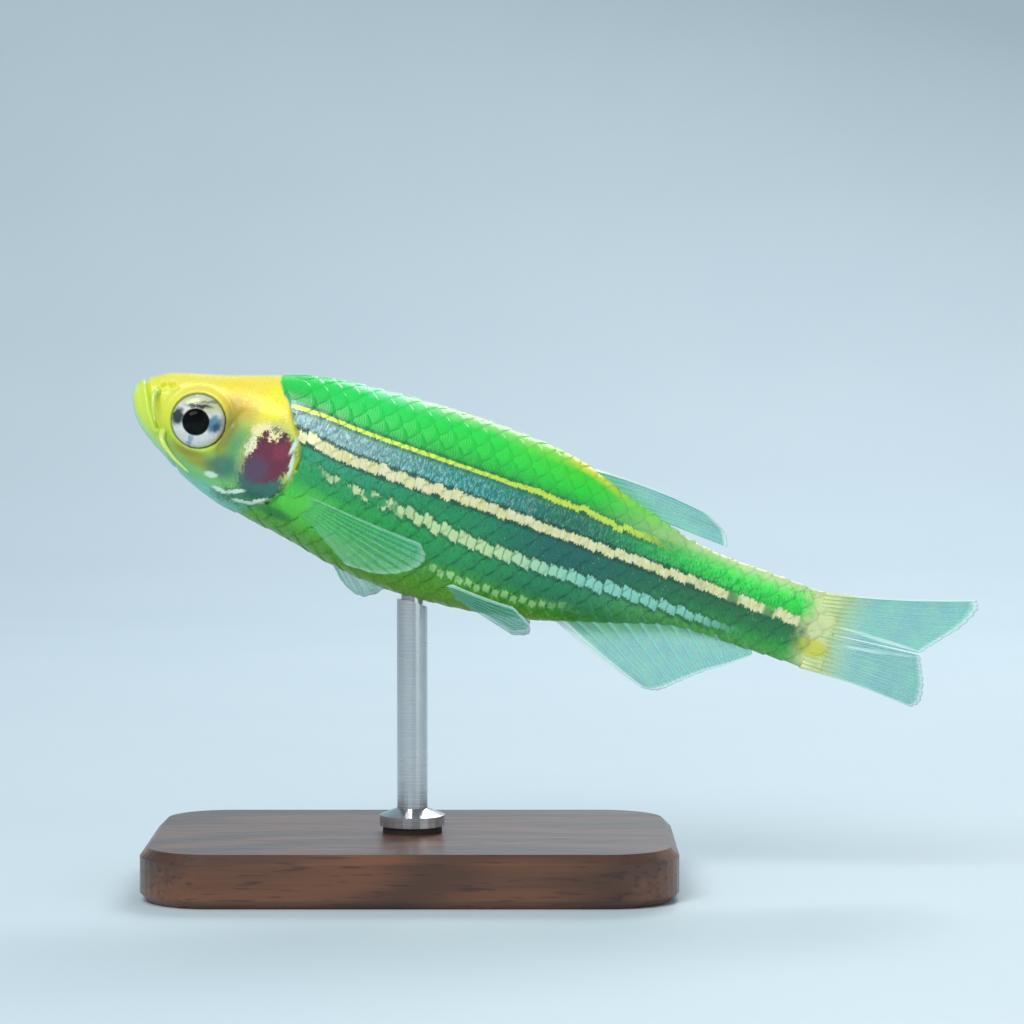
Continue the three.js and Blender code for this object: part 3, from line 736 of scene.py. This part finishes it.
# %% The skin
SKIN_RINGS = 400
SKIN_SIDES = 236
SKIN_END = 100.6
RING_CROWDING = 1.5
BLUNT = 0.012
TAPER_FROM = 96.5


def along_share(s):
    """Along from the snout, with the sheet's rows crowded towards the head."""
    return STATIONS[0, 0] + (SKIN_END - STATIONS[0, 0]) * s ** RING_CROWDING


def thinned(at):
    """How much of its width the body keeps, down to nothing at the tail's root."""
    return np.sqrt(np.clip((SKIN_END - at) / (SKIN_END - TAPER_FROM), 0, 1))


def skin_place(s, t):
    at = along_share(s)
    angle = 2 * math.pi * t - math.pi / 2
    points = body_point(at, angle)
    normal = body_normal(at, angle)
    lift = (relief(at, points[:, 2]) + SKIN_LIFT) * MM
    points = points + normal * (lift * smooth_step(s, 0, 0.02))[:, None]
    nose = np.sqrt(np.clip(s / BLUNT, 0, 1))
    middle = (back_at(at) + belly_at(at)) / 2
    points[:, 1] *= thinned(at) * nose
    points[:, 2] = middle + (points[:, 2] - middle) * nose
    return points


bm = new_sheet_mesh()
add_sheet(bm, SKIN_RINGS, SKIN_SIDES, skin_place)
bmesh.ops.remove_doubles(bm, verts=bm.verts, dist=1e-7)
bmesh.ops.dissolve_degenerate(bm, dist=1e-8, edges=bm.edges)
bmesh.ops.recalc_face_normals(bm, faces=bm.faces)
finish_piece(
    "skin", bm, skin_finish,
    ["head", "lower_jaw", "gill_cover_left", "gill_cover_right", "trunk", "tail"],
)

# %% [markdown]
# ## Scales
# A danio has about thirty scales along its flank, laid like roof tiles: each one is rooted
# under its neighbours in front, and its rounded rear edge lies free. Each is a small sheet
# bent over the body, in rows a fixed distance apart along the skin and staggered row by row.
# The head has none. Each scale's patch in the unwrap lies at its root's place on the skin.

# %% Distances around the body
AROUND = np.linspace(0, math.pi / 2, 91)
ALONG = np.linspace(15, SKIN_END, 90)
SHARES = np.linspace(0, 1, 61)
quarter_out, quarter_up = section_point(ALONG[:, None], AROUND[None, :])
steps = np.hypot(np.diff(quarter_out, axis=1), np.diff(quarter_up, axis=1))
run = np.concatenate([np.zeros((len(ALONG), 1)), np.cumsum(steps, axis=1)], axis=1)
quarter_length = run[:, -1]
angle_table = np.array([np.interp(SHARES * r[-1], r, AROUND) for r in run])


def angle_at(at, distance):
    """Angle on the body at a signed distance up the skin from the flank's widest line."""
    share = np.abs(distance) / np.interp(at, ALONG, quarter_length)
    over = share > 1
    column = np.clip(np.where(over, 2 - share, share), 0, 1) * (len(SHARES) - 1)
    row = np.interp(at, ALONG, np.arange(len(ALONG)))
    i = np.clip(row.astype(int), 0, len(ALONG) - 2)
    j = np.clip(column.astype(int), 0, len(SHARES) - 2)
    down, right = row - i, column - j
    near = angle_table[i, j] * (1 - right) + angle_table[i, j + 1] * right
    far = angle_table[i + 1, j] * (1 - right) + angle_table[i + 1, j + 1] * right
    angle = near * (1 - down) + far * down
    return np.sign(distance) * np.where(over, math.pi - angle, angle)


print("skin distance from flank to back:", round(float(quarter_length.max()), 1), "per cent")

# %% One scale, laid where it belongs
ROW_PITCH = 1.86
SCALE_LENGTH = 3.9
SCALE_HALF = 1.95
SCALE_ROOT_LIFT = -0.05
SCALE_TIP_LIFT = 0.035
SCALE_STEPS = 7
PATCH = 0.003
scale_draw = random.Random(11)


def scale_outline(s, t):
    """Along and across a scale whose rear edge is round, both from the middle of its root."""
    q = 2 * t - 1
    wide = SCALE_HALF * (0.72 + 0.28 * np.sin(math.pi * s * 0.8))
    return SCALE_LENGTH * s * (1 - 0.42 * q * q), wide * q


def lay_scale(bm, side, start_at, distance, size):
    # two draws for each scale, of which the first is spare
    _, lean = scale_draw.uniform(-1, 1), scale_draw.uniform(-0.012, 0.012)

    def scale_place(s, t):
        rim = smooth_step(s, 0.9, 1.0)
        s = np.minimum(s / 0.94, 1)
        run_back, run_up = scale_outline(s, t)
        at = start_at + run_back * size
        angle = angle_at(at, distance + run_up * size)
        q = np.abs(2 * t - 1)
        lift = SCALE_ROOT_LIFT + (SCALE_TIP_LIFT - SCALE_ROOT_LIFT) * s ** 0.8
        lift = lift - 0.05 * q ** 4 * (1 - 0.5 * s) - 0.07 * rim + lean * (2 * t - 1)
        points = body_point(at, angle)
        points = points + body_normal(at, angle) * (lift * MM)[:, None]
        points[:, 1] *= side * thinned(at)
        return points

    verts = add_sheet(bm, SCALE_STEPS, 6, scale_place)
    reach = bm.verts.layers.float["reach"]
    for i, vertex in enumerate(verts):
        vertex[reach] = (i % (SCALE_STEPS + 1)) / SCALE_STEPS
    root_s = ((start_at - STATIONS[0, 0]) / (SKIN_END - STATIONS[0, 0])) ** (1 / RING_CROWDING)
    root_angle = float(angle_at(np.array([start_at]), np.array([distance]))[0])
    if side < 0:
        root_angle = math.pi - root_angle
    root_t = ((root_angle + math.pi / 2) / (2 * math.pi)) % 1
    root_s, root_t = (min(max(x, PATCH), 1 - PATCH) for x in (root_s, root_t))
    uv = bm.loops.layers.uv[BAKE_MAP]
    for face in {f for v in verts for f in v.link_faces}:
        if side < 0:
            face.normal_flip()
        for loop in face.loops:
            old = loop[uv].uv
            loop[uv].uv = (root_s + PATCH * (old.x - 0.5), root_t + PATCH * (old.y - 0.5))


# %% All rows of scales
bm = new_sheet_mesh()
bm.verts.layers.float.new("reach")
count = 0
for side in (1, -1):
    for row in range(-9, 10):
        shift = 0.5 * (row % 2)
        for column in range(32):
            at = SCALE_START - 1.2 + (column + shift) * SCALE_PITCH
            distance = row * ROW_PITCH
            quarter = float(np.interp(at, ALONG, quarter_length))
            if abs(distance) > quarter + 0.4 * ROW_PITCH or at > 97.5:
                continue
            angle = angle_at(np.array([at]), np.array([distance]))
            high_up = float(section_point(at, angle)[1][0])
            if at < float(gill_edge(high_up)) - 0.9:
                continue
            size = 1 - 0.22 * smooth_step(at, 70, 99)
            lay_scale(bm, side, at, distance, size)
            count += 1
finish_piece("scales", bm, scale_finish)
print(count, "scales")

# %% [markdown]
# ## Eyes
# The eye is large and silver-white, with a black pupil set a little forward, and a clear
# dome over it. It is made in three: a ball that carries the iris, a lens that bulges through
# the pupil, and the dome. Keeping the dome separate gives the eye its depth, because its
# highlight lies in front of the iris.

# %% The eye's finishes
PUPIL_AT, PUPIL_UP = 9.5, -0.35
# along, up, length, height, turn, softness, strength, colour
IRIS_SPOTS = [
    (9.6, 2.3, 3.2, 1.1, -4, 0.4, 0.8, "e2e6b0"),
    (9.2, 1.75, 1.7, 0.28, -14, 0.5, 0.95, "23302e"),
    (10.4, 2.7, 1.6, 0.2, -20, 0.5, 0.6, "50584a"),
    (11.9, 0.1, 0.95, 1.15, 10, 0.35, 0.9, "4a90ae"),
    (12.3, -0.3, 0.5, 0.6, 10, 0.5, 0.8, "1f4a5c"),
    (6.95, -0.4, 0.85, 1.15, 0, 0.4, 0.95, "10332e"),
    (9.5, -2.9, 0.35, 0.7, 0, 0.5, 0.7, "7cb8dc"),
]


def flat_distance(flat, at, up):
    """Distance from a spot in the side view."""
    return flat.vector("SUBTRACT", (at, 0, up)).vector("LENGTH", output="Value")


iris_finish, tree, shader = new_material("silver_iris")
where = use_group(tree, "place_on_fish")
flat = where["Flat"]
fibre = where["Place"].noise(2.4, 4.0, 0.7)
shifted = flat.vector("ADD", (-0.45, 0, -0.45))
ragged_flat = flat.noise(1.7, 3.0, output=1).vector("MULTIPLY_ADD", (0.9, 0, 0.9), shifted)
from_pupil = flat_distance(flat, PUPIL_AT, PUPIL_UP)
from_middle = flat_distance(flat, EYE_AT, EYE_UP)
iris = spotted(fibre.step(0.4, 0.6).mix("eef5f5", "ffffff"), ragged_flat, IRIS_SPOTS)
iris = painted(
    iris, (from_pupil.step(1.95, 1.72), "04070a"), (from_middle.step(3.42, 3.66) * 0.8, "2f6a60"),
)
matte = from_pupil.step(2.0, 1.8) * 0.5
set_inputs(
    shader, base_color=iris, roughness=fibre * 0.25 + matte + 0.2, normal=fibre.bump(0.4, 0.00003),
    metallic=0.1, specular_ior_level=0.3,
)

lens_finish, tree, shader = new_material("black_lens")
haze = use_group(tree, "place_on_fish")["Place"].noise(1.5)
set_inputs(
    shader, base_color=haze.mix("000000", "04080a"), roughness=haze * 0.1 + 0.03,
    specular_ior_level=0.08,
)

dome_finish, tree, shader = new_material("clear_dome")
tear = object_place(tree).noise(900.0)
set_inputs(
    shader, base_color="ffffff", roughness=tear * 0.03 + 0.01, transmission_weight=1.0, ior=1.2,
)
print("eye finishes ready")


# %% Balls, lenses and domes


def round_piece(name, centre, radii, material, nodes=(), segments=48, rings=32, flatten=None):
    """A ball scaled to three radii in the fish's frame, with its pole facing sideways."""
    bm = bmesh.new()
    made = bmesh.ops.create_uvsphere(bm, u_segments=segments, v_segments=rings, radius=1)
    bmesh.ops.rotate(bm, verts=made["verts"], matrix=Matrix.Rotation(math.pi / 2, 3, "X"))
    for vertex in bm.verts:
        p = np.array(vertex.co)
        if flatten:
            p = flatten(p)
        vertex.co = to_world(p * radii + centre)
    bmesh.ops.recalc_face_normals(bm, faces=bm.faces)
    finish_piece(name, bm, material, nodes)


def dished(p):
    """Sinks the middle of the ball's outer face to a shallow dish, as the iris lies."""
    edge = math.hypot(p[0], p[2])
    sink = 0.16 * (1 - smooth_step(edge, 0.2, 0.93))
    return p * np.array([1, 1 - sink, 1])


for label, side in (("left", -1), ("right", 1)):
    centre = np.array([EYE_AT, side * EYE_OUT, EYE_UP])
    ball = np.array([EYE_RADIUS * 0.985, EYE_DEPTH * 0.96, EYE_RADIUS * 0.985])
    round_piece(f"eye_ball_{label}", centre, ball, iris_finish, [f"eye_{label}"], 64, 48, dished)
    lens_centre = np.array([PUPIL_AT, side * (EYE_OUT + EYE_DEPTH * 0.62), PUPIL_UP])
    round_piece(f"eye_lens_{label}", lens_centre, np.array([1.8, 0.68, 1.8]), lens_finish)
    dome = np.array([EYE_RADIUS * 0.998, EYE_DEPTH * 0.998, EYE_RADIUS * 0.998])
    round_piece(f"eye_dome_{label}", centre, dome, dome_finish, (), 64, 40)

# %% [markdown]
# ## Fins
# A fin is a thin film held up by rays. The rays of a danio's fins are soft: they fork
# towards their tips, and are built of short joints, so the film is thickest at its root and
# finest at its edge. Each fin is two sheets, one for each face, with the rays raised in both,
# and their rims are bridged into one closed piece. The root is sunk into the body.

# %% The fin film's finish
tree, given, result = new_group(
    "fin_film",
    {"Ray": "Float", "Reach": "Float", "Rim": "Float", "Place": "Vector", "Flat": "Vector",
     "Body": "Float", "Green": "Float"},
    {"Color": "Color", "Alpha": "Float", "Height": "Float"},
)
ray, reach, rim, place, flat, body, green = given.values()
along = place.part("X")
joint = abs((reach * 26.0).fract() - 0.5).step(0.34, 0.46)
cloud, dust = place.noise(0.35, 3.0), place.noise(3.0)
streaks = flat.spot(106.5, 0.75, 6.2, 0.26, -1.4) | flat.spot(106.4, -1.0, 5.9, 0.26, -10)
edge = (rim | streaks * 0.8) * body
warm = along.step(94, 96) * (cloud * 4.0 + along).step(107.0, 100.5)
colour = painted(
    cloud.step(0.35, 0.65).mix("35b8b4", "58cfae"), (reach.step(0.45, 0.0) * 0.6, "8fd678"),
    (green, "3cc862"), (ray * (0.75 - joint * 0.3), "a4ece2"), (edge, "e4fffc"),
    (warm * 0.95, root_tone(flat)),
)
alpha = ray * 0.26 + 0.42 + reach.step(0.35, 0.0) * 0.4 + edge * 0.4 + dust * 0.12 - 0.06
set_inputs(
    result, color=colour, alpha=(alpha * body | warm) & 1.0, height=dust * 0.5 - joint * ray,
)


def film_finish(name, body, green):
    """A film whose body is its strength against what lies behind, and that leans to green."""
    material, tree, shader = new_material(name)
    inputs = {key: attribute(tree, key.lower()) for key in ("Ray", "Reach", "Rim")}
    inputs.update(use_group(tree, "place_on_fish"), Body=body, Green=green)
    look = use_group(tree, "fin_film", inputs)
    set_inputs(
        shader, base_color=look["Color"], alpha=look["Alpha"],
        normal=look["Height"].bump(0.5, 0.00002), roughness=0.28, coat_weight=0.3, coat_roughness=0.1,
    )
    return material


fin_finish = film_finish("fin_film", 1.0, 0.0)
near_finish = film_finish("fin_film_near", 0.42, 0.7)
side_finish = film_finish("fin_film_side", 0.75, 0.1)
print("fin_film ready")

# %% A fin from its root line to its tips
COLUMNS_PER_RAY = 12
FIN_ROWS = 44
FIN_TIP = 0.05
FORK_ONE, FORK_TWO = 0.42, 0.74


def ray_height(s, cell):
    """How much of a ray lies at a place: one stem that forks twice towards the tip."""
    x = cell - 0.5
    spread = 0.19 * smooth_step(s, FORK_ONE, 1.05)
    finer = 0.085 * smooth_step(s, FORK_TWO, 1.05)
    width = 0.16 - 0.09 * smooth_step(s, 0.0, 0.9)
    branches = [a * spread + b * finer for a in (-1, 1) for b in (-1, 1)]
    return np.max([ridge(x - branch, width) for branch in branches], axis=0)


def line_in_space(points):
    """A function that runs smoothly through points as its number goes from 0 to 1."""
    points = np.asarray(points, float)
    at = np.linspace(0, 1, len(points))
    columns = [through(at, c) for c in points.T]
    return lambda t: np.stack([c(t) for c in columns], axis=-1)


def build_fin(name, rays, root, tips, bow, root_thick, film_thick, node, material=None):
    tip_line = line_in_space(tips)

    def middle(s, t):
        start, end = root(t), tip_line(t)
        return start + (end - start) * s[:, None] + bow(s, t)

    def face(side):
        def place(s, t):
            cell = (t * rays) % 1
            ray = ray_height(s, cell)
            notch = 0.01 * (1 - ridge(cell - 0.5, 0.35))
            s_cut = s * (1 - notch * smooth_step(s, 0.5, 1))
            step = 0.004
            along = middle(s_cut + step, t) - middle(s_cut - step, t)
            across = middle(s_cut, np.minimum(t + step, 1)) - middle(s_cut, np.maximum(t - step, 0))
            normal = np.cross(along, across)
            normal /= np.maximum(np.linalg.norm(normal, axis=1, keepdims=True), 1e-9)
            film = film_thick + (root_thick - film_thick) * (1 - smooth_step(s, 0, 0.22))
            film = film + (FIN_TIP - film) * smooth_step(s, 0.6, 1)
            thick = film + 0.13 * ray * (1 - 0.7 * s)
            offset = side * thick / 2 * MM
            return middle(s_cut, t) + normal * offset[:, None]
        return place

    bm = new_sheet_mesh()
    layers = {key: bm.verts.layers.float.new(key) for key in ("ray", "reach", "rim")}
    columns = rays * COLUMNS_PER_RAY
    for side in (1, -1):
        verts = add_sheet(bm, FIN_ROWS, columns, face(side))
        for i, vertex in enumerate(verts):
            s, t = (i % (FIN_ROWS + 1)) / FIN_ROWS, (i // (FIN_ROWS + 1)) / columns
            vertex[layers["ray"]] = float(ray_height(np.array(s), np.array((t * rays) % 1)))
            vertex[layers["reach"]] = s
            rim = max(smooth_step(s, 0.93, 0.99), smooth_step(0.08 - t, 0, 0.05))
            vertex[layers["rim"]] = float(rim)
    border = [e for e in bm.edges if e.is_boundary]
    bmesh.ops.bridge_loops(bm, edges=border)
    bmesh.ops.recalc_face_normals(bm, faces=bm.faces)
    finish_piece(name, bm, material or fin_finish, [node])


# %% Dorsal and anal fins
def ridge_root(height_at, start, end, sink):
    def root(t):
        at = start + (end - start) * t
        return np.stack([at, 0 * at, height_at(at) - sink], axis=-1)
    return root


def median_bow(rise, ripple):
    def bow(s, t):
        sway = ripple * np.sin(9 * t + 2 * s) * s
        return np.stack([0 * s, sway, rise * s * (1 - s) * (1 - t)], axis=-1)
    return bow


build_fin(
    "dorsal_film", 8, ridge_root(back_at, 60.6, 71.8, 0.6),
    [(78.6, 0, 9.5), (80.8, 0, 8.7), (82.3, 0, 7.6), (83, 0, 6.1)],
    median_bow(2.2, 0.25), 0.5, 0.1, "dorsal_fin",
)
build_fin(
    "anal_film", 13, ridge_root(belly_at, 63.2, 90.4, -0.6),
    [(78.2, 0, -15.8), (80.4, 0, -15.3), (82.6, 0, -13.4), (85.4, 0, -11), (88.4, 0, -8.8),
     (90.9, 0, -6.7)],
    median_bow(-1.2, 0.25), 0.5, 0.1, "anal_fin",
)


# %% The two lobes of the tail fin
def tail_root_line(outer, inner):
    return lambda t: np.stack([97.6 + 0 * t, 0 * t, outer + (inner - outer) * t], axis=-1)


def lobe_bow(sweep, flare):
    def bow(s, t):
        return np.stack([0 * s, sweep * s * (1 - s), flare * s * (1 - s) * (1 - t)], axis=-1)
    return bow


build_fin(
    "tail_film_upper", 10, tail_root_line(4.5, -0.9),
    [(117.4, 0, 10.1), (118.05, 0, 8.9), (116.8, 0, 6), (114.6, 0, 3.3), (112.5, 0, 0.7)],
    lobe_bow(0, -1.6), 0.5, 0.12, "caudal_fin_upper",
)
build_fin(
    "tail_film_lower", 9, tail_root_line(-6.4, -1.0),
    [(114, 3.4, -6.9), (115.1, 3.5, -5.8), (114.7, 2.6, -3.4), (113.7, 1.6, -1.4), (112.7, 0.5, 0.4)],
    lobe_bow(-2.4, 1.4), 0.5, 0.12, "caudal_fin_lower",
)


# %% Pectoral and pelvic fins
def flank_point(side, at, up, lift):
    """A point over the flank, lifted off it by millimetres."""
    waist = (back_at(at) + belly_at(at)) / 2
    share = np.clip((up - waist) / (back_at(at) - waist), -1, 1)
    angle = math.asin(math.copysign(abs(share) ** (square_at(at) / 2), share))
    at, angle = np.array([float(at)]), np.array([angle])
    point = body_point(at, angle) + body_normal(at, angle) * lift * MM
    return point[0] * np.array([1, side, 1])


def flank_root(side, first, last):
    a, b = flank_point(side, *first, -0.28), flank_point(side, *last, -0.28)
    return lambda t: a + (b - a) * np.asarray(t)[:, None]


def paired_bow(side):
    def bow(s, t):
        swell = 1.6 * s * (1 - s)
        return np.stack([0 * s, side * swell, -0.3 * np.sin(2.5 * s) * (1 - t)], axis=-1)
    return bow


PAIRED = {
    "pectoral_left": (-1, 9, (25.6, -4.9), (26.8, -7.9), "pectoral_fin_left", [
        (43.4, 9.6, -5.8), (44.6, 10, -7.6), (43.2, 10.2, -9.8), (39.4, 9.8, -11.6), (34.6, 8.9, -12)]),
    "pectoral_right": (1, 9, (25.6, -4.9), (26.8, -7.9), "pectoral_fin_right", [
        (41.2, 11, -10.8), (41.0, 10.6, -14.1), (38.2, 9.8, -16.7), (35.2, 9.1, -16.0),
        (32.6, 8.6, -13.4)]),
    "pelvic_left": (-1, 7, (47.4, -10.6), (49.4, -12.3), "pelvic_fin_left", [
        (57.8, 7, -10.2), (60.4, 6.6, -11.7), (61, 5.2, -13.2), (59, 3.6, -14.2)]),
    "pelvic_right": (1, 7, (47.4, -10.6), (49.4, -12.3), "pelvic_fin_right", [
        (57.8, 7, -10.2), (60.4, 6.6, -11.7), (61, 5.2, -13.2), (59, 3.6, -14.2)]),
}
for name, (side, rays, first, last, node, tips) in PAIRED.items():
    tips = [(at, side * out, up) for at, out, up in tips]
    film = near_finish if name == "pectoral_left" else side_finish
    build_fin(name, rays, flank_root(side, first, last), tips, paired_bow(side), 0.32, 0.08, node, film)

# %% [markdown]
# ## Barbels
# Danios carry two pairs of thin feelers, one on the snout and a longer one at the corner of
# the mouth. The photograph hides them, so they follow the species and lie folded along the
# cheek. Each is a sheet rolled round a curve, thinning to a point.

# %% Feelers
barbel_finish, tree, shader = new_material("barbel_skin")
grain = use_group(tree, "place_on_fish")["Place"].noise(3.0, 3.0)
set_inputs(
    shader, base_color=grain.mix("b8dc50", "e2f08c"), roughness=grain * 0.2 + 0.25,
    normal=grain.bump(0.4, 0.00001), subsurface_weight=0.2, subsurface_scale=0.0005,
    coat_weight=0.4, coat_roughness=0.1,
)

BARBELS = {
    "snout": (0.15, [(3.2, 2.0, -0.1), (3.3, 1.2, 0.35), (3.9, -0.4, 0.5), (4.8, -2.0, 0.5)]),
    "jaw": (0.17, [(5.4, -3.0, -0.1), (6.4, -3.9, 0.4), (8.6, -5.3, 0.5), (11.2, -6.5, 0.5)]),
}
BARBEL_TIP = 0.035


def build_barbel(name, side, thick, places, node):
    path = line_in_space([flank_point(side, *p) for p in places])

    def place(s, t):
        ahead = path(np.minimum(s + 0.01, 1)) - path(np.maximum(s - 0.01, 0))
        ahead /= np.linalg.norm(ahead, axis=1, keepdims=True)
        across = np.cross(ahead, [0, 0, 1])
        across /= np.linalg.norm(across, axis=1, keepdims=True)
        over = np.cross(across, ahead)
        rounded = np.sqrt(np.clip((1 - s) * 14, 0, 1))
        radius = (thick + (BARBEL_TIP - thick) * s) * rounded * MM
        turn = 2 * math.pi * t
        ring = across * np.cos(turn)[:, None] + over * np.sin(turn)[:, None]
        return path(s) + ring * radius[:, None]

    bm = new_sheet_mesh()
    add_sheet(bm, 36, 14, place)
    bmesh.ops.remove_doubles(bm, verts=bm.verts, dist=1e-7)
    bmesh.ops.holes_fill(bm, edges=[e for e in bm.edges if e.is_boundary])
    bmesh.ops.recalc_face_normals(bm, faces=bm.faces)
    finish_piece(name, bm, barbel_finish, [node])


for kind, (thick, places) in BARBELS.items():
    for label, side in (("left", -1), ("right", 1)):
        build_barbel(f"{kind}_feeler_{label}", side, thick, places, f"barbel_{kind}_{label}")

# %% [markdown]
# ## Stand
# The stand stays as the CAD made it: a small walnut base and a steel rod. Only the finish is
# new. Wood is rings stretched far along the grain with fine pores, under a satin varnish.
# Steel is bright, with fine lines round the rod from turning.

# %% Walnut and steel
walnut, tree, shader = new_material("walnut")
place = object_place(tree)
sway = place.scaled(30, 60, 60).noise(1.0, 1.0)
streaks = place.scaled(45, 1100, 1100).noise(1.0, 4.0, 0.6)
pores = place.scaled(500, 6000, 6000).noise(1.0)
year_rings = (sway * 60.0 + streaks * 6.0).sine()
wood = painted(
    year_rings.step(-1.2, 1.2).mix("4a2b1a", "6e4329"), (streaks.step(0.5, 0.7) * 0.6, "2e190e"),
    (pores.step(0.56, 0.68) * 0.6, "24130a"),
)
set_inputs(
    shader, base_color=wood, roughness=pores * 0.2 + 0.32, normal=pores.bump(0.3, 0.00003, True),
    coat_weight=0.35, coat_roughness=0.2,
)

steel, tree, shader = new_material("turned_steel")
place = object_place(tree)
turning = place.scaled(300, 300, 14000).noise(1.0)
smudge = place.noise(400.0, 3.0)
set_inputs(
    shader, base_color=smudge.mix("b4b8bb", "d8dadc"), roughness=turning * 0.25 + smudge * 0.2,
    normal=turning.bump(0.25, 0.00001), metallic=1.0,
)

for node, material in (("stand_base", walnut), ("stand_rod", steel)):
    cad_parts[node].material_slots[0].material = material
print("stand finished")

# %% [markdown]
# ## Washer and peg
# Two small parts hide in the joints of the stand. A rubber washer keeps the steel from
# scratching the varnish, and a thin peg runs from the rod into the belly. Both are turned
# parts: a short cylinder with its rims bevelled, so that they catch a line of light.

# %% Two turned parts
rubber, tree, shader = new_material("black_rubber")
dimples = object_place(tree).noise(9000.0)
set_inputs(
    shader, base_color=dimples.mix("141516", "2b2d2e"), roughness=dimples * 0.2 + 0.55,
    normal=dimples.bump(0.3, 0.00001),
)

# in millimetres: how far the washer bites into base and collar, how deep the peg starts in the
# rod, how far it goes into the belly, and their radii
WASHER_BITE, WASHER_RADIUS = 0.05, 1.35
PEG_IN_ROD, PEG_IN_BELLY, PEG_RADIUS = 1.2, 0.3, 0.5


def turned(name, centre, low, high, radius, material):
    """A short upright cylinder with bevelled rims."""
    bm = new_sheet_mesh()
    made = bmesh.ops.create_cone(bm, cap_ends=True, segments=64, radius1=radius, radius2=radius,
                                 depth=high - low, calc_uvs=True)
    bmesh.ops.translate(bm, verts=made["verts"], vec=(centre.x, centre.y, (low + high) / 2))
    rims = [e for e in bm.edges if abs(e.verts[0].co.z - e.verts[1].co.z) < 1e-9]
    bmesh.ops.bevel(bm, geom=rims, offset=0.12 * (high - low), affect="EDGES", segments=3,
                    profile=0.5, material=-1)
    finish_piece(name, bm, material)


base_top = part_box("stand_base")[1].z
rod_low, rod_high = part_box("stand_rod")
rod_middle = (rod_low + rod_high) / 2
rod_middle.y = 0
turned("rubber_washer", rod_middle, base_top - WASHER_BITE * MILLIMETRE,
       rod_low.z + WASHER_BITE * MILLIMETRE, WASHER_RADIUS * MILLIMETRE, rubber)
turned("belly_peg", rod_middle, rod_high.z - PEG_IN_ROD * MILLIMETRE,
       rod_high.z + PEG_IN_BELLY * MILLIMETRE, PEG_RADIUS * MILLIMETRE, steel)

# %% [markdown]
# ## Floor, light and camera
# The floor sweeps up into the backdrop in one sheet, so that no horizon shows. One large
# soft light from the front and above, a weaker one from the other side and one from behind,
# which lights the fins through, are plain studio light. The camera looks along +Y, as the
# photograph does, and a little down, through a long lens that hardly distorts the side view.

# %% Floor and backdrop
floor_finish, tree, shader = new_material("pale_floor")
paper = object_place(tree).noise(60.0, 3.0)
set_inputs(shader, base_color=paper.mix("c9dbe4", "cfe0e8"), roughness=0.6)

# metres: half its width, its near edge, how far it lies flat, its bend's radius, half its length
FLOOR_HALF, FLOOR_FRONT, FLOOR_DEPTH, SWEEP, RUN_HALF = 0.6, -0.35, 0.5, 0.12, 0.75
bm = bmesh.new()
bmesh.ops.create_grid(bm, x_segments=2, y_segments=60, size=1)
for vertex in bm.verts:
    x, run = vertex.co.x * FLOOR_HALF, (vertex.co.y + 1) * RUN_HALF
    turn = min(max(run - FLOOR_DEPTH, 0) / SWEEP, math.pi / 2)
    wall = max(run - FLOOR_DEPTH - SWEEP * math.pi / 2, 0)
    y = FLOOR_FRONT + min(run, FLOOR_DEPTH) + SWEEP * math.sin(turn)
    vertex.co = (x, y, SWEEP * (1 - math.cos(turn)) + wall)
floor = new_object("studio_floor", bm, floor_finish)

# %% Lights
FISH_MIDDLE = Vector((0.006, 0, 0.016))
# name, place and size in metres, power in watts, tint
LIGHTS = [
    ("key", (-0.08, -0.17, 0.2), 0.16, 0.46, (1, 0.99, 0.97)),
    ("fill", (0.2, -0.16, 0.06), 0.2, 0.09, (0.95, 0.98, 1)),
    ("back", (0.06, 0.16, 0.16), 0.12, 0.22, (1, 1, 1)),
]
for name, place, size, power, tint in LIGHTS:
    data = bpy.data.lights.new(name, "AREA")
    data.shape, data.size, data.energy, data.color = "DISK", size, power, tint
    light = bpy.data.objects.new(name, data)
    light.location = place
    light.rotation_euler = (FISH_MIDDLE - Vector(place)).to_track_quat("-Z", "Y").to_euler()
    bpy.context.scene.collection.objects.link(light)

world = bpy.data.worlds.new("studio")
world.use_nodes = True
world.node_tree.nodes["Background"].inputs[0].default_value = (0.86, 0.93, 1, 1)
world.node_tree.nodes["Background"].inputs[1].default_value = 0.4
bpy.context.scene.world = world
bpy.context.scene.view_settings.view_transform = "Standard"

# %% Camera
PIXELS_PER_MM = 21.966
PHOTO_SNOUT = (134, 396)
PHOTO_SIZE = 1024
LENS = 135
ELEVATION = math.radians(3)
frame_width = PHOTO_SIZE / PIXELS_PER_MM * MILLIMETRE
centre_x = snout.x + (PHOTO_SIZE / 2 - PHOTO_SNOUT[0]) / PIXELS_PER_MM * MILLIMETRE
centre_z = snout.z - (PHOTO_SIZE / 2 - PHOTO_SNOUT[1]) / PIXELS_PER_MM * MILLIMETRE
target = Vector((centre_x, 0, centre_z))
camera_data = bpy.data.cameras.new("camera")
camera_data.lens = LENS
camera_data.clip_start = 0.01
distance = frame_width * LENS / camera_data.sensor_width
away = Vector((0, -math.cos(ELEVATION), math.sin(ELEVATION)))
camera = bpy.data.objects.new("camera", camera_data)
camera.location = target + away * distance
camera.rotation_euler = (-away).to_track_quat("-Z", "Y").to_euler()
bpy.context.scene.collection.objects.link(camera)
bpy.context.scene.camera = camera
print("camera", round(distance * 1000), "mm away")
